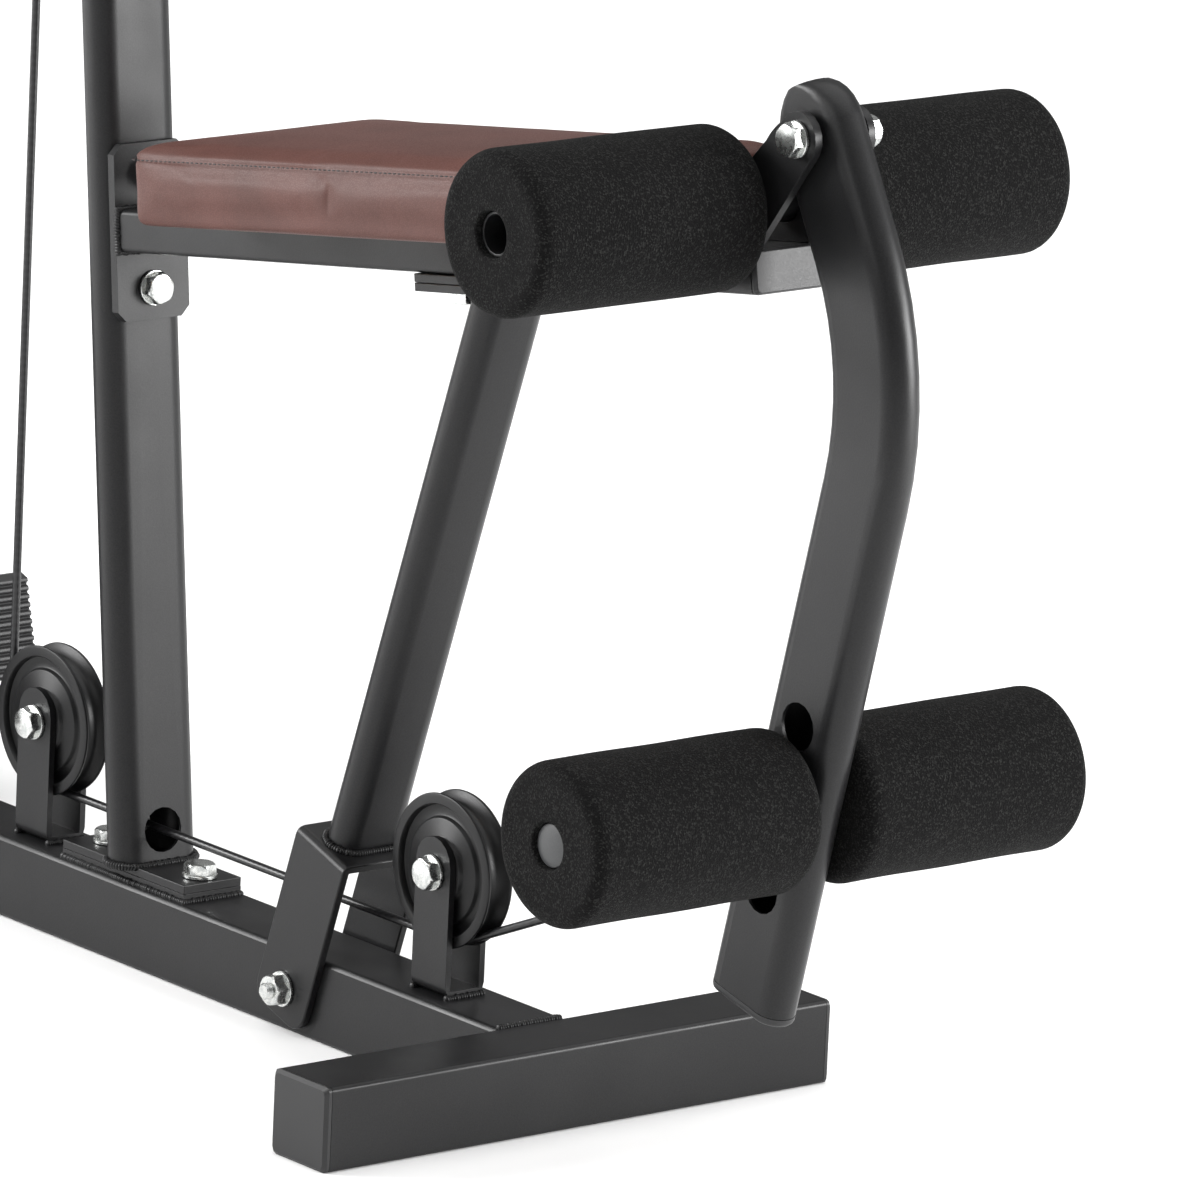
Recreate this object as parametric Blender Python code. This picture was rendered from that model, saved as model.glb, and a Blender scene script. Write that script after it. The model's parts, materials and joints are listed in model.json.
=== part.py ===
# Cable gym with a seat, a leg lever, low pulleys and a weight stack.
# Metres, +Z up. The user faces -Y. The origin is on the floor, at the middle of the machine's outline.
# Places below are measured from the front face of the front crossbar; centre_on_floor moves them all.
import bmesh
import bpy
from math import acos, atan, atan2, cos, hypot, pi, radians, sin, tan
from mathutils import Matrix, Vector

GAP = 0.0003                # between touching pieces
RUN_GAP = 0.0005            # around a turning piece

# Base
BAR = 0.050                 # square tube
BAR_WALL = 0.002
BAR_CORNER = 0.003
FRONT_BAR_LENGTH = 0.367
REAR_BAR_LENGTH = 0.560
BASE_LENGTH = 1.100         # front face of the front crossbar to rear face of the rear one
CAP_RIM = 0.004
CAP_PLUG = 0.012
CAP_EASE = 0.002            # how far a cap's face steps in

# Upright
UPRIGHT_WIDTH = 0.057
UPRIGHT_DEPTH = 0.0265
UPRIGHT_LEAN = 0.109        # metres rearward per metre up
UPRIGHT_Y = 0.408           # its axis at floor level
OVAL_WALL = 0.002
MACHINE_TOP = 1.180
PLATE = 0.005
FOOT_PLATE_WIDTH = 0.042
FOOT_PLATE_FRONT = 0.353
FOOT_PLATE_CLEAR = 0.026    # its rear edge to the rear pulley's bracket
FOOT_BOLTS_Y = (0.366, 0.455)
CABLE_HOLE_R = 0.0135       # in the front wall
CABLE_REAR_HOLE_R = 0.0085

# Seat frame and support post
SEAT_SLOPE = 0.1546         # metres up per metre forward
SEAT_LINE_Y = 0.3618        # a point on the underside of the seat frame
SEAT_LINE_Z = 0.4380
SEAT_TUBE_WIDTH = 0.050
SEAT_TUBE_HEIGHT = 0.025
SEAT_TUBE_FRONT_Y = -0.146
POST_WIDTH = 0.046
POST_DEPTH = 0.024
POST_LEAN = 0.3297          # metres forward per metre up
POST_BOLT_Y = 0.2420
POST_BOLT_Z = 0.0270
POST_PLATE_LENGTH = 0.113
POST_PLATE_BOLT = 0.0395    # plate middle to its bolt
BRACKET_RISE = 0.0975       # bolt to the top of the bridge, along the post
BRACKET_DEPTH = 0.048
BRACKET_FOOT = 0.0185       # bolt to the end of a leg
BRACKET_CORNER = 0.012
FLANGE_WIDTH = 0.052
FLANGE_LENGTH = 0.105
FLANGE_LOW_Z = 0.383
FLANGE_THICKNESS = 0.006
FLANGE_BOLT_INSET = 0.0185
FLANGE_CHAMFER = 0.006

# Cushion
CUSHION_REAR_Y = 0.338
CUSHION_LENGTH = 0.392
CUSHION_REAR_WIDTH = 0.186
CUSHION_FRONT_WIDTH = 0.170
CUSHION_SIDE = 0.0445
CUSHION_CROWN = 0.006
CUSHION_CORNER = 0.014
CUSHION_EDGE = 0.006
CUSHION_FOOT = 0.003        # small chamfer along its underside
CUSHION_FOOT_INSET = 0.002
BOARD_THICKNESS = 0.012
BOARD_INSET = 0.013

# Lever
PIVOT_Y = -0.174
PIVOT_Z = 0.609
LEVER_DEPTH = 0.060         # in the plane it swings in
LEVER_WIDTH = 0.025
LEVER_UPPER_LEAN = radians(29.2)
LEVER_LOWER_LEAN = radians(13.6)
LEVER_BEND_R = 0.186
LEVER_PIVOT_OFFSET = 0.003  # pivot in front of the centreline
LEVER_HEAD_RISE = 0.003     # pivot to the centre of the rounded head
LEVER_UPPER_LENGTH = 0.064  # pivot to the start of the bend
LEVER_LOWER_LENGTH = 0.3105
LEVER_HOLE_CLEARANCE = 0.0013   # around the roller tube
LEVER_HOLES = (0.0684, 0.1192, 0.1700)    # from the open end, two inches apart
TAB_FROM_END = 0.060
TAB_REACH = 0.022
CHEEK_INNER = 0.0165
CHEEK_END_R = 0.0155
CHEEK_FOOT_Y = (-0.143, -0.078)
CHEEK_END_ARC = (radians(205), radians(35))

# Rollers
ROLLER_TUBE_R = 0.0125
ROLLER_TUBE_WALL = 0.0015
ROLLER_R = 0.047
ROLLER_LENGTH = 0.160
ROLLER_EDGE = 0.008
UPPER_ROLLER_Y = -0.120
UPPER_ROLLER_Z = 0.5617
UPPER_ROLLER_INNER = 0.029
LOWER_ROLLER_INNER = 0.016

# Cable and pulleys
CABLE_R = 0.0025
PULLEY_R = 0.0454
CABLE_DEPTH = 0.0034        # rim to cable centre
PULLEY_HALF_WIDTH = 0.009
PULLEY_BORE_R = 0.0054
PULLEY_WEB = 0.004          # half thickness of the web
RIM_DEPTH = 0.005           # rim's inner side to the groove's floor
GROOVE_HALF_WIDTHS = (0.0058, 0.0031)   # at the rim and at the floor
HUB_HALF_WIDTH = 0.0097
HUB_R = 0.0195
HUB_FLARE = 0.002
PULLEY_STEPS = 28
BRACKET_HALF_WIDTH = 0.0142
BRACKET_STRIP = 0.004
BRACKET_LENGTH = 0.032
EAR_RISE = 0.005            # axle to the centre of the ear's round top
BRACKET_BEND = 0.007
UNDER_PULLEY = 0.0271       # free height between a pulley and the face its bracket stands on
FRONT_PULLEY_Y = 0.127
CABLE_BEHIND = 0.02138      # upright's axis at the machine's top to the rising cable
TOP_REAR_PULLEY_Y = 0.810

# Foot plates
FOOT_TUBE_Y = 0.745
FOOT_INNER = 0.050
FOOT_WIDTH = 0.100
FOOT_HEIGHT = 0.066
FOOT_THICKNESS = 0.016
FOOT_LEAN = radians(14)
RIB_PITCH = 0.0052
RIB_DEPTH = 0.0018
RIBS = 12
RIB_START = 0.002
FOOT_EASE = 0.004
FOOT_LIFT = 0.0022          # foot rest above its tube

# Weight stack
STACK_WIDTH = 0.280
STACK_DEPTH = 0.100
SLAB = 0.030
SLAB_EDGE = 0.0025
SLAB_CORNER = 0.006
RESTING_SLABS = 5
LIFTED_SLABS = 3
TRAY_THICKNESS = 0.010
HEAD_PLATE = 0.012
HEAD_PLATE_INSET = (0.010, 0.020)   # from the slab's sides and ends
ROD_R = 0.0095
ROD_SPACING = 0.200
ROD_BEND = 0.040
ROD_HOLE_R = 0.0105
STEM_R = 0.012
STEM_TOP = 0.030
PIN_R = 0.0045
PIN_HOLE_R = 0.0052
KNOB_R = 0.012
KNOB_LENGTH = 0.022
KNOB_EDGE = 0.003
COLLAR_R = 0.008
COLLAR_LENGTH = 0.005
COLUMN_GAP = 0.055          # column to rear crossbar

# Bolts
BOLT_R = 0.005
BOLT_HOLE_R = 0.0055
HEX_FLATS = 0.017
HEX_HEIGHT = 0.0064
NUT_HEIGHT = 0.008
WASHER_R = 0.0105
WASHER = 0.002
THREAD_END = 0.004

# Derived sizes and places
CABLE_WRAP_R = PULLEY_R - CABLE_DEPTH
AXLE_HEIGHT = PULLEY_R + UNDER_PULLEY
LEVER_HOLE_R = ROLLER_TUBE_R + LEVER_HOLE_CLEARANCE
REAR_PULLEY_Y = UPRIGHT_Y + UPRIGHT_LEAN * MACHINE_TOP + CABLE_BEHIND - CABLE_WRAP_R
TOP_FRONT_PULLEY_Y = REAR_PULLEY_Y + 2 * CABLE_WRAP_R
FOOT_PLATE_REAR = REAR_PULLEY_Y - BRACKET_LENGTH / 2 - FOOT_PLATE_CLEAR
UPRIGHT_TILT = atan(UPRIGHT_LEAN)
SEAT_TILT = atan(SEAT_SLOPE)
POST_TILT = atan(POST_LEAN)
CABLE_Z = BAR + AXLE_HEIGHT - CABLE_WRAP_R
AXLE_Z = BAR + AXLE_HEIGHT
TOP_AXLE_Z = MACHINE_TOP - BAR - AXLE_HEIGHT
DROP_Y = TOP_REAR_PULLEY_Y + CABLE_WRAP_R
STACK_FLOOR = BAR + TRAY_THICKNESS + GAP
LIFTED_FLOOR = STACK_FLOOR + RESTING_SLABS * SLAB + 2 * GAP
LIFTED_TOP = LIFTED_FLOOR + LIFTED_SLABS * SLAB + HEAD_PLATE
FOOT_TOP_Z = BAR + 2 * (PLATE + GAP)


def material(name, color, roughness, metallic):
    made = bpy.data.materials.new(name)
    made.use_nodes = True
    shader = made.node_tree.nodes["Principled BSDF"]
    shader.inputs["Base Color"].default_value = (*color, 1)
    shader.inputs["Roughness"].default_value = roughness
    shader.inputs["Metallic"].default_value = metallic
    return made


def add(name, mesh, look, at=(0, 0, 0), tilt=0.0):
    """look is (colour, roughness, metallic); tilt turns the piece about X."""
    mesh.materials.append(material(name, *look))
    made = bpy.data.objects.new(name, mesh)
    made.location = at
    made.rotation_euler.x = tilt
    bpy.context.collection.objects.link(made)
    return made


def cutter(name, mesh, at=(0, 0, 0), tilt=0.0):
    made = add(name, mesh, CUTTER, at, tilt)
    made.hide_render = True
    made.display_type = "WIRE"
    return made


def cut(target, tool, operation="DIFFERENCE"):
    modifier = target.modifiers.new(tool.name, "BOOLEAN")
    modifier.operation = operation
    modifier.solver = "EXACT"
    modifier.object = tool


def loft(name, rings, closed=False, smooth=False):
    """A closed body through rings of equal length; closed joins the last ring to the first."""
    shape = bmesh.new()
    loops = [[shape.verts.new(point) for point in ring] for ring in rings]
    pairs = list(zip(loops, loops[1:]))
    if closed:
        pairs.append((loops[-1], loops[0]))
    else:
        shape.faces.new(loops[0])
        shape.faces.new(loops[-1])
    for here, there in pairs:
        for i in range(len(here)):
            j = (i + 1) % len(here)
            shape.faces.new((here[i], here[j], there[j], there[i]))
    bmesh.ops.recalc_face_normals(shape, faces=shape.faces)
    mesh = bpy.data.meshes.new(name)
    shape.to_mesh(mesh)
    shape.free()
    if smooth:
        mesh.shade_smooth()
        mesh.set_sharp_from_angle(angle=radians(35))
    return mesh


def arc(center, radius, start, end, steps):
    return [(center[0] + radius * cos(start + (end - start) * i / steps),
             center[1] + radius * sin(start + (end - start) * i / steps)) for i in range(steps + 1)]


def rounded(width, height, radius, steps=2):
    """Outline of a rounded rectangle; a radius of half the height makes a flat oval."""
    points = []
    for turn, (sx, sy) in enumerate(((1, 1), (-1, 1), (-1, -1), (1, -1))):
        center = (sx * (width / 2 - radius), sy * (height / 2 - radius))
        points += arc(center, radius, turn * pi / 2, (turn + 1) * pi / 2, steps)
    return [p for i, p in enumerate(points) if hypot(p[0] - points[i - 1][0], p[1] - points[i - 1][1]) > 1e-6]


def circle(radius, points=16):
    return [(radius * cos(2 * pi * i / points), radius * sin(2 * pi * i / points)) for i in range(points)]


def hexagon(flats, points=12):
    """A hexagon traced by a whole number of points per side."""
    ring = []
    for i in range(points):
        angle = 2 * pi * i / points
        radius = flats / 2 / cos((angle % (pi / 3)) - pi / 6)
        ring.append((radius * cos(angle), radius * sin(angle)))
    return ring


def ring(outline, origin, u=(1, 0, 0), v=(0, 1, 0)):
    origin, u, v = Vector(origin), Vector(u), Vector(v)
    return [origin + a * u + b * v for a, b in outline]


def hollow(name, outer, inner, places, smooth=True):
    """A tube through places, each (origin, u, v)."""
    rings = [ring(outer, *place) for place in places] + [ring(inner, *place) for place in reversed(places)]
    return loft(name, rings, closed=True, smooth=smooth)


def prism_x(name, outline, low, high):
    """An outline in Y and Z, from low to high along X."""
    return loft(name, [[Vector((x, y, z)) for y, z in outline] for x in (low, high)])


def prism_y(name, outline, low, high):
    return loft(name, [[Vector((x, y, z)) for x, z in outline] for y in (low, high)])


def prism_z(name, outline, low, high):
    return loft(name, [[Vector((x, y, z)) for x, y in outline] for z in (low, high)])


def turned_x(name, profile, points):
    """A closed profile of (x, radius), turned about X."""
    rings = [[Vector((x, r * cos(2 * pi * i / points), r * sin(2 * pi * i / points))) for i in range(points)]
             for x, r in profile]
    return loft(name, rings, closed=True, smooth=True)


def box(name, low, high):
    outline = ((low[0], low[1]), (high[0], low[1]), (high[0], high[1]), (low[0], high[1]))
    return prism_z(name, outline, low[2], high[2])


def drill(name, radius, center, length, axis, tilt=0.0):
    """A cylindrical cutter along X, Y or Z, turned about X by tilt."""
    make = {"X": prism_x, "Y": prism_y, "Z": prism_z}[axis]
    return cutter(name, make(name, circle(radius), -length / 2, length / 2), center, tilt)


def bolt(name, at, grip, axis="Z", tilt=0.0, nut=True):
    """Head and washer above the face at `at`, shank going in along minus the axis, washer and nut beyond."""
    hexed, wide, shank = hexagon(HEX_FLATS), circle(WASHER_R, 12), circle(BOLT_R, 12)
    sections = [(GAP + WASHER + HEX_HEIGHT, hexed), (GAP + WASHER, hexed), (GAP + WASHER, wide),
                (GAP, wide), (GAP, shank)]
    if nut:
        far = -grip - GAP
        sections += [(far, shank), (far, wide), (far - WASHER, wide), (far - WASHER, hexed),
                     (far - WASHER - NUT_HEIGHT, hexed), (far - WASHER - NUT_HEIGHT, shank),
                     (far - WASHER - NUT_HEIGHT - THREAD_END, shank)]
    else:
        sections.append((-grip, shank))
    turn = {"Z": Matrix.Identity(3), "X": Matrix.Rotation(pi / 2, 3, "Y"), "-X": Matrix.Rotation(-pi / 2, 3, "Y"),
            "-Y": Matrix.Rotation(pi / 2, 3, "X")}[axis]
    rings = [[turn @ Vector((a, b, height)) for a, b in outline] for height, outline in sections]
    return add(name, loft(name, rings), ZINC, at, tilt)


CUTTER = ((1, 0, 0), 0.5, 0)
COAT = ((0.035, 0.036, 0.038), 0.45, 0.3)
ZINC = ((0.62, 0.62, 0.60), 0.3, 1.0)
CHROME = ((0.70, 0.71, 0.72), 0.12, 1.0)
BLACK_PLASTIC = ((0.020, 0.020, 0.021), 0.5, 0.0)
GREY_PLASTIC = ((0.090, 0.092, 0.095), 0.5, 0.0)
FOAM = ((0.012, 0.012, 0.012), 0.95, 0.0)
VINYL = ((0.165, 0.075, 0.060), 0.5, 0.0)
PLYWOOD = ((0.42, 0.30, 0.18), 0.7, 0.0)
CABLE = ((0.010, 0.010, 0.011), 0.35, 0.0)
IRON = ((0.050, 0.050, 0.052), 0.6, 0.2)

BAR_OUTER = rounded(BAR, BAR, BAR_CORNER)
BAR_INNER = rounded(BAR - 2 * BAR_WALL, BAR - 2 * BAR_WALL, BAR_CORNER - BAR_WALL)


def upright_y(z):
    return UPRIGHT_Y + UPRIGHT_LEAN * z


def seat_underside(y):
    return SEAT_LINE_Z + SEAT_SLOPE * (SEAT_LINE_Y - y)


def seat_top(y):
    return seat_underside(y) + SEAT_TUBE_HEIGHT / cos(SEAT_TILT)


def crossbar(name, length, front_y):
    center = (0, front_y + BAR / 2, BAR / 2)
    sides = [((side * (length / 2 - CAP_RIM - GAP), 0, 0), (0, 1, 0), (0, 0, 1)) for side in (-1, 1)]
    add(name + "_crossbar", hollow(name, BAR_OUTER, BAR_INNER, sides), COAT, center)
    for side, word in ((-1, "left"), (1, "right")):
        end, rim = side * length / 2, side * (length / 2 - CAP_RIM)
        plug = rounded(BAR - 2 * BAR_WALL - 4 * GAP, BAR - 2 * BAR_WALL - 4 * GAP, BAR_CORNER - BAR_WALL)
        face = rounded(BAR - 2 * CAP_EASE, BAR - 2 * CAP_EASE, BAR_CORNER)
        steps = [(end, face), (side * (length / 2 - CAP_EASE), BAR_OUTER), (rim, BAR_OUTER), (rim, plug),
                 (rim - side * CAP_PLUG, plug)]
        rings = [ring(outline, (x, 0, 0), (0, 1, 0), (0, 0, 1)) for x, outline in steps]
        add(f"{name}_cap_{word}", loft(name, rings), BLACK_PLASTIC, center)


def base():
    crossbar("front", FRONT_BAR_LENGTH, 0)
    crossbar("rear", REAR_BAR_LENGTH, BASE_LENGTH - BAR)
    ends = [((0, y, BAR / 2), (1, 0, 0), (0, 0, 1)) for y in (BAR + GAP, BASE_LENGTH - BAR - GAP)]
    beam = add("base_beam", hollow("base_beam", BAR_OUTER, BAR_INNER, ends), COAT)
    cut(beam, drill("post_bolt_way", BOLT_HOLE_R, (0, POST_BOLT_Y, POST_BOLT_Z), 2 * BAR, "X"))
    pad = plate_on_beam("beam_pad_plate", BAR + GAP)
    foot = plate_on_beam("upright_foot_plate", BAR + PLATE + 2 * GAP)
    for i, y in enumerate(FOOT_BOLTS_Y):
        way = drill(f"foot_bolt_way_{i + 1}", BOLT_HOLE_R, (0, y, BAR), BAR / 2, "Z")
        for piece in (beam, pad, foot):
            cut(piece, way)
        bolt(f"foot_bolt_{('front', 'rear')[i]}", (0, y, FOOT_TOP_Z), 2 * PLATE + BAR / 3, nut=False)


def plate_on_beam(name, low):
    half = FOOT_PLATE_WIDTH / 2
    return add(name, box(name, (-half, FOOT_PLATE_FRONT, low), (half, FOOT_PLATE_REAR, low + PLATE)), COAT)


def upright():
    """A leaning flat-oval tube cut level at both ends, with the cable's way through its foot."""
    outer = rounded(UPRIGHT_WIDTH, UPRIGHT_DEPTH, UPRIGHT_DEPTH / 2, 4)
    inner = rounded(UPRIGHT_WIDTH - 2 * OVAL_WALL, UPRIGHT_DEPTH - 2 * OVAL_WALL, UPRIGHT_DEPTH / 2 - OVAL_WALL, 4)
    level = (0, 1 / cos(UPRIGHT_TILT), 0)
    places = [((0, upright_y(z), z), (1, 0, 0), level) for z in (FOOT_TOP_Z + GAP, MACHINE_TOP - BAR - GAP)]
    tube = add("upright", hollow("upright", outer, inner, places), COAT)
    middle, through = (0, upright_y(CABLE_Z), CABLE_Z), 2 * UPRIGHT_DEPTH
    front_way = prism_y("cable_way_front", circle(CABLE_HOLE_R), -through, 0)
    cut(tube, cutter("cable_way_front", front_way, middle))
    rear_way = prism_y("cable_way_rear", circle(CABLE_REAR_HOLE_R), -GAP, through)
    cut(tube, cutter("cable_way_rear", rear_way, middle))
    seat_flange(tube)


def seat_flange(tube):
    """Chamfered plate on the upright's front face, in the upright's own leaning frame."""
    low = Vector((0, upright_y(FLANGE_LOW_Z), FLANGE_LOW_Z))
    lean, half, chamfer = -UPRIGHT_TILT, FLANGE_WIDTH / 2, FLANGE_CHAMFER
    top = FLANGE_LENGTH
    outline = [(-half + chamfer, 0), (half - chamfer, 0), (half, chamfer), (half, top - chamfer),
               (half - chamfer, top), (-half + chamfer, top), (-half, top - chamfer), (-half, chamfer)]
    back = -UPRIGHT_DEPTH / 2 - GAP
    flange = add("seat_flange", prism_y("seat_flange", outline, back - FLANGE_THICKNESS, back), COAT, low, lean)
    turn = Matrix.Rotation(lean, 3, "X")
    for word, height in (("lower", FLANGE_BOLT_INSET), ("upper", top - FLANGE_BOLT_INSET)):
        at = low + turn @ Vector((0, 0, height))
        way = drill(f"flange_way_{word}", BOLT_HOLE_R, at, 3 * UPRIGHT_DEPTH, "Y", lean)
        for piece in (flange, tube):
            cut(piece, way)
        face = low + turn @ Vector((0, back - FLANGE_THICKNESS, height))
        bolt(f"flange_bolt_{word}", face, FLANGE_THICKNESS + GAP + UPRIGHT_DEPTH, "-Y", lean)


def seat_frame():
    """Rectangular tube rising forward from the flange, in a frame tilted with the seat."""
    before = (UPRIGHT_DEPTH / 2 + FLANGE_THICKNESS + 2 * GAP) / cos(UPRIGHT_TILT)
    flange_y = (upright_y(SEAT_LINE_Z + SEAT_SLOPE * SEAT_LINE_Y) - before) / (1 + UPRIGHT_LEAN * SEAT_SLOPE)
    origin = (0, flange_y, seat_underside(flange_y))
    length = (flange_y - SEAT_TUBE_FRONT_Y) / cos(SEAT_TILT)
    outer = rounded(SEAT_TUBE_WIDTH, SEAT_TUBE_HEIGHT, BAR_CORNER)
    inner = rounded(SEAT_TUBE_WIDTH - 2 * BAR_WALL, SEAT_TUBE_HEIGHT - 2 * BAR_WALL, BAR_CORNER - BAR_WALL)
    rise = SEAT_TUBE_HEIGHT / 2
    shear = tan(SEAT_TILT - UPRIGHT_TILT)
    rear = ((0, -GAP - rise * shear, rise), (1, 0, 0), (0, -shear, 1))
    front = ((0, -length, rise), (1, 0, 0), (0, 0, 1))
    add("seat_frame_tube", hollow("seat_frame_tube", outer, inner, [rear, front]), COAT, origin, -SEAT_TILT)
    plug_in = rounded(SEAT_TUBE_WIDTH - 2 * BAR_WALL - 4 * GAP, SEAT_TUBE_HEIGHT - 2 * BAR_WALL - 4 * GAP,
                      BAR_CORNER - BAR_WALL)
    face = rounded(SEAT_TUBE_WIDTH - CAP_EASE, SEAT_TUBE_HEIGHT - CAP_EASE, BAR_CORNER)
    steps = [(CAP_PLUG, plug_in), (-GAP, plug_in), (-GAP, outer), (-CAP_RIM + CAP_EASE, outer), (-CAP_RIM, face)]
    rings = [ring(outline, (0, -length + y, rise), (1, 0, 0), (0, 0, 1)) for y, outline in steps]
    add("seat_frame_plug", loft("seat_frame_plug", rings), BLACK_PLASTIC, origin, -SEAT_TILT)
    return origin


def cushion_outline(inset):
    """Plan of the cushion in the seat's own frame, narrower at the front."""
    length = CUSHION_LENGTH - 2 * inset
    corner = max(CUSHION_CORNER - inset / 2, 0.003)
    plan = []
    for x, y, turn in ((CUSHION_REAR_WIDTH / 2 - inset, -inset, 0), (-CUSHION_REAR_WIDTH / 2 + inset, -inset, 1),
                       (-CUSHION_FRONT_WIDTH / 2 + inset, -inset - length, 2),
                       (CUSHION_FRONT_WIDTH / 2 - inset, -inset - length, 3)):
        center = (x + (-corner if turn in (0, 3) else corner), y + (-corner if turn in (0, 1) else corner))
        plan += arc(center, corner, turn * pi / 2, (turn + 1) * pi / 2, 3)
    return plan


def seat():
    at = (0, CUSHION_REAR_Y, seat_top(CUSHION_REAR_Y))
    floor, edge = 2 * GAP, CUSHION_EDGE
    recess = BOARD_INSET - RUN_GAP
    steps = [(floor + BOARD_THICKNESS + 2 * GAP, recess), (floor, recess), (floor, CUSHION_FOOT_INSET),
             (floor + CUSHION_FOOT, 0), (CUSHION_SIDE - edge, 0), (CUSHION_SIDE - edge / 4, edge / 4), (CUSHION_SIDE, edge),
             (CUSHION_SIDE + CUSHION_CROWN / 2, 4 * edge), (CUSHION_SIDE + CUSHION_CROWN, 9 * edge)]
    rings = [ring(cushion_outline(inset), (0, 0, z)) for z, inset in steps]
    add("seat_cushion", loft("seat_cushion", rings, smooth=True), VINYL, at, -SEAT_TILT)
    board = prism_z("seat_board", cushion_outline(BOARD_INSET), GAP, GAP + BOARD_THICKNESS)
    add("seat_board", board, PLYWOOD, at, -SEAT_TILT)


def support_post():
    """Leaning flat-oval tube from the straddle bracket to two bolted plates under the seat frame."""
    axis = Vector((0, -sin(POST_TILT), cos(POST_TILT)))
    bolt_at = Vector((0, POST_BOLT_Y, POST_BOLT_Z))
    foot = bolt_at + axis * (BRACKET_RISE + GAP)
    plates = 2 * PLATE + 3 * GAP
    z_gap = plates / cos(SEAT_TILT)
    level_z = seat_underside(POST_BOLT_Y) - z_gap           # straight above the bolt
    high_z = (level_z - SEAT_SLOPE * POST_LEAN * POST_BOLT_Z) / (1 - SEAT_SLOPE * POST_LEAN)
    high = bolt_at + axis * ((high_z - POST_BOLT_Z) / cos(POST_TILT))
    along = Vector((0, 1, -SEAT_SLOPE)).normalized()
    square = Vector((0, cos(POST_TILT), sin(POST_TILT)))
    slant = along / along.dot(square)
    outer = rounded(POST_WIDTH, POST_DEPTH, POST_DEPTH / 2, 4)
    inner = rounded(POST_WIDTH - 2 * OVAL_WALL, POST_DEPTH - 2 * OVAL_WALL, POST_DEPTH / 2 - OVAL_WALL, 4)
    places = [(foot, (1, 0, 0), square), (high, (1, 0, 0), slant)]
    add("support_post", hollow("support_post", outer, inner, places), COAT)
    post_plates(high)
    post_bracket(bolt_at)


def post_plates(high):
    half, reach = SEAT_TUBE_WIDTH / 2, POST_PLATE_LENGTH / 2
    turn = Matrix.Rotation(-SEAT_TILT, 3, "X")
    at = high + turn @ Vector((0, POST_PLATE_BOLT, 0))
    way = drill("plate_way", BOLT_HOLE_R, at, 6 * PLATE, "Z", -SEAT_TILT)
    for name, low in (("post_top_plate", GAP), ("seat_mount_plate", 2 * GAP + PLATE)):
        shape = box(name, (-half, -reach, low), (half, reach, low + PLATE))
        cut(add(name, shape, COAT, high, -SEAT_TILT), way)
    below = high + turn @ Vector((0, POST_PLATE_BOLT, GAP))
    shank = circle(BOLT_R, 12)
    sections = [(-GAP - WASHER - HEX_HEIGHT, hexagon(HEX_FLATS)), (-GAP - WASHER, hexagon(HEX_FLATS)),
                (-GAP - WASHER, circle(WASHER_R, 12)), (-GAP, circle(WASHER_R, 12)), (-GAP, shank),
                (2 * PLATE, shank)]
    rings = [ring(outline, (0, 0, z)) for z, outline in sections]
    add("post_top_bolt", loft("post_top_bolt", rings), ZINC, below, -SEAT_TILT)


def strap_outline(inner, outer, foot, top, strip, bend):
    """Cross-section of an inverted U: legs from foot to top, strip thick, with rounded shoulders."""
    half = [(inner, foot), (outer, foot)] + arc((outer - bend, top - bend), bend, 0, pi / 2, 3)
    inside = [(inner, top - strip)]
    return half + [(-x, z) for x, z in reversed(half)] + [(-x, z) for x, z in inside] + inside


def post_bracket(bolt_at):
    """Inverted U that straddles the base beam, with round corners below the cross bolt."""
    inner = BAR / 2 + RUN_GAP
    outer = inner + PLATE
    reach = BRACKET_DEPTH / 2
    outline = strap_outline(inner, outer, -reach, BRACKET_RISE, PLATE, PLATE)
    bracket = add("post_bracket", prism_y("post_bracket", outline, -reach, reach), COAT, bolt_at, POST_TILT)
    corner = BRACKET_CORNER
    side = arc((-reach + corner, corner - BRACKET_FOOT), corner, pi, 3 * pi / 2, 4) \
        + arc((reach - corner, corner - BRACKET_FOOT), corner, 3 * pi / 2, 2 * pi, 4) \
        + [(reach, 0), (reach + GAP, GAP), (reach + GAP, 2 * BRACKET_RISE), (-reach - GAP, 2 * BRACKET_RISE),
           (-reach - GAP, GAP), (-reach, 0)]
    cut(bracket, cutter("bracket_side", prism_x("bracket_side", side, -BAR, BAR), bolt_at, POST_TILT), "INTERSECT")
    cut(bracket, bpy.data.objects["post_bolt_way"])
    bolt("post_bracket_bolt", bolt_at + Vector((outer, 0, 0)), 2 * outer, "X")


def ear_outline(half, foot, axle):
    """Side view of a bracket whose ears end round about an axle."""
    return [(-half, foot), (half, foot)] + arc((0, axle + EAR_RISE), half, 0, pi, 8)


def pulley_bracket(name, y, face_z, up):
    """U of strip on a face at face_z; up is 1 when it stands and -1 when it hangs."""
    axle = AXLE_HEIGHT - GAP
    inner = BRACKET_HALF_WIDTH - BRACKET_STRIP
    top = axle + EAR_RISE + BRACKET_LENGTH / 2
    section = [(x, -z) for x, z in strap_outline(inner, BRACKET_HALF_WIDTH, -top, 0, BRACKET_STRIP,
                                                BRACKET_BEND)]
    shape = prism_y(name, section, -BRACKET_LENGTH / 2, BRACKET_LENGTH / 2)
    at = (0, y, face_z + up * GAP)
    bracket = add(name, shape, COAT, at, 0 if up > 0 else pi)
    side = ear_outline(BRACKET_LENGTH / 2, -GAP, axle)
    cut(bracket, cutter(name + "_side", prism_x(name, side, -BAR, BAR), at, 0 if up > 0 else pi), "INTERSECT")
    way = drill(name + "_way", BOLT_HOLE_R, (0, y, face_z + up * AXLE_HEIGHT), 2 * BAR, "X")
    cut(bracket, way)
    bolt(name.replace("bracket", "axle"), (-BRACKET_HALF_WIDTH, y, face_z + up * AXLE_HEIGHT),
         2 * BRACKET_HALF_WIDTH, "-X")


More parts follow.
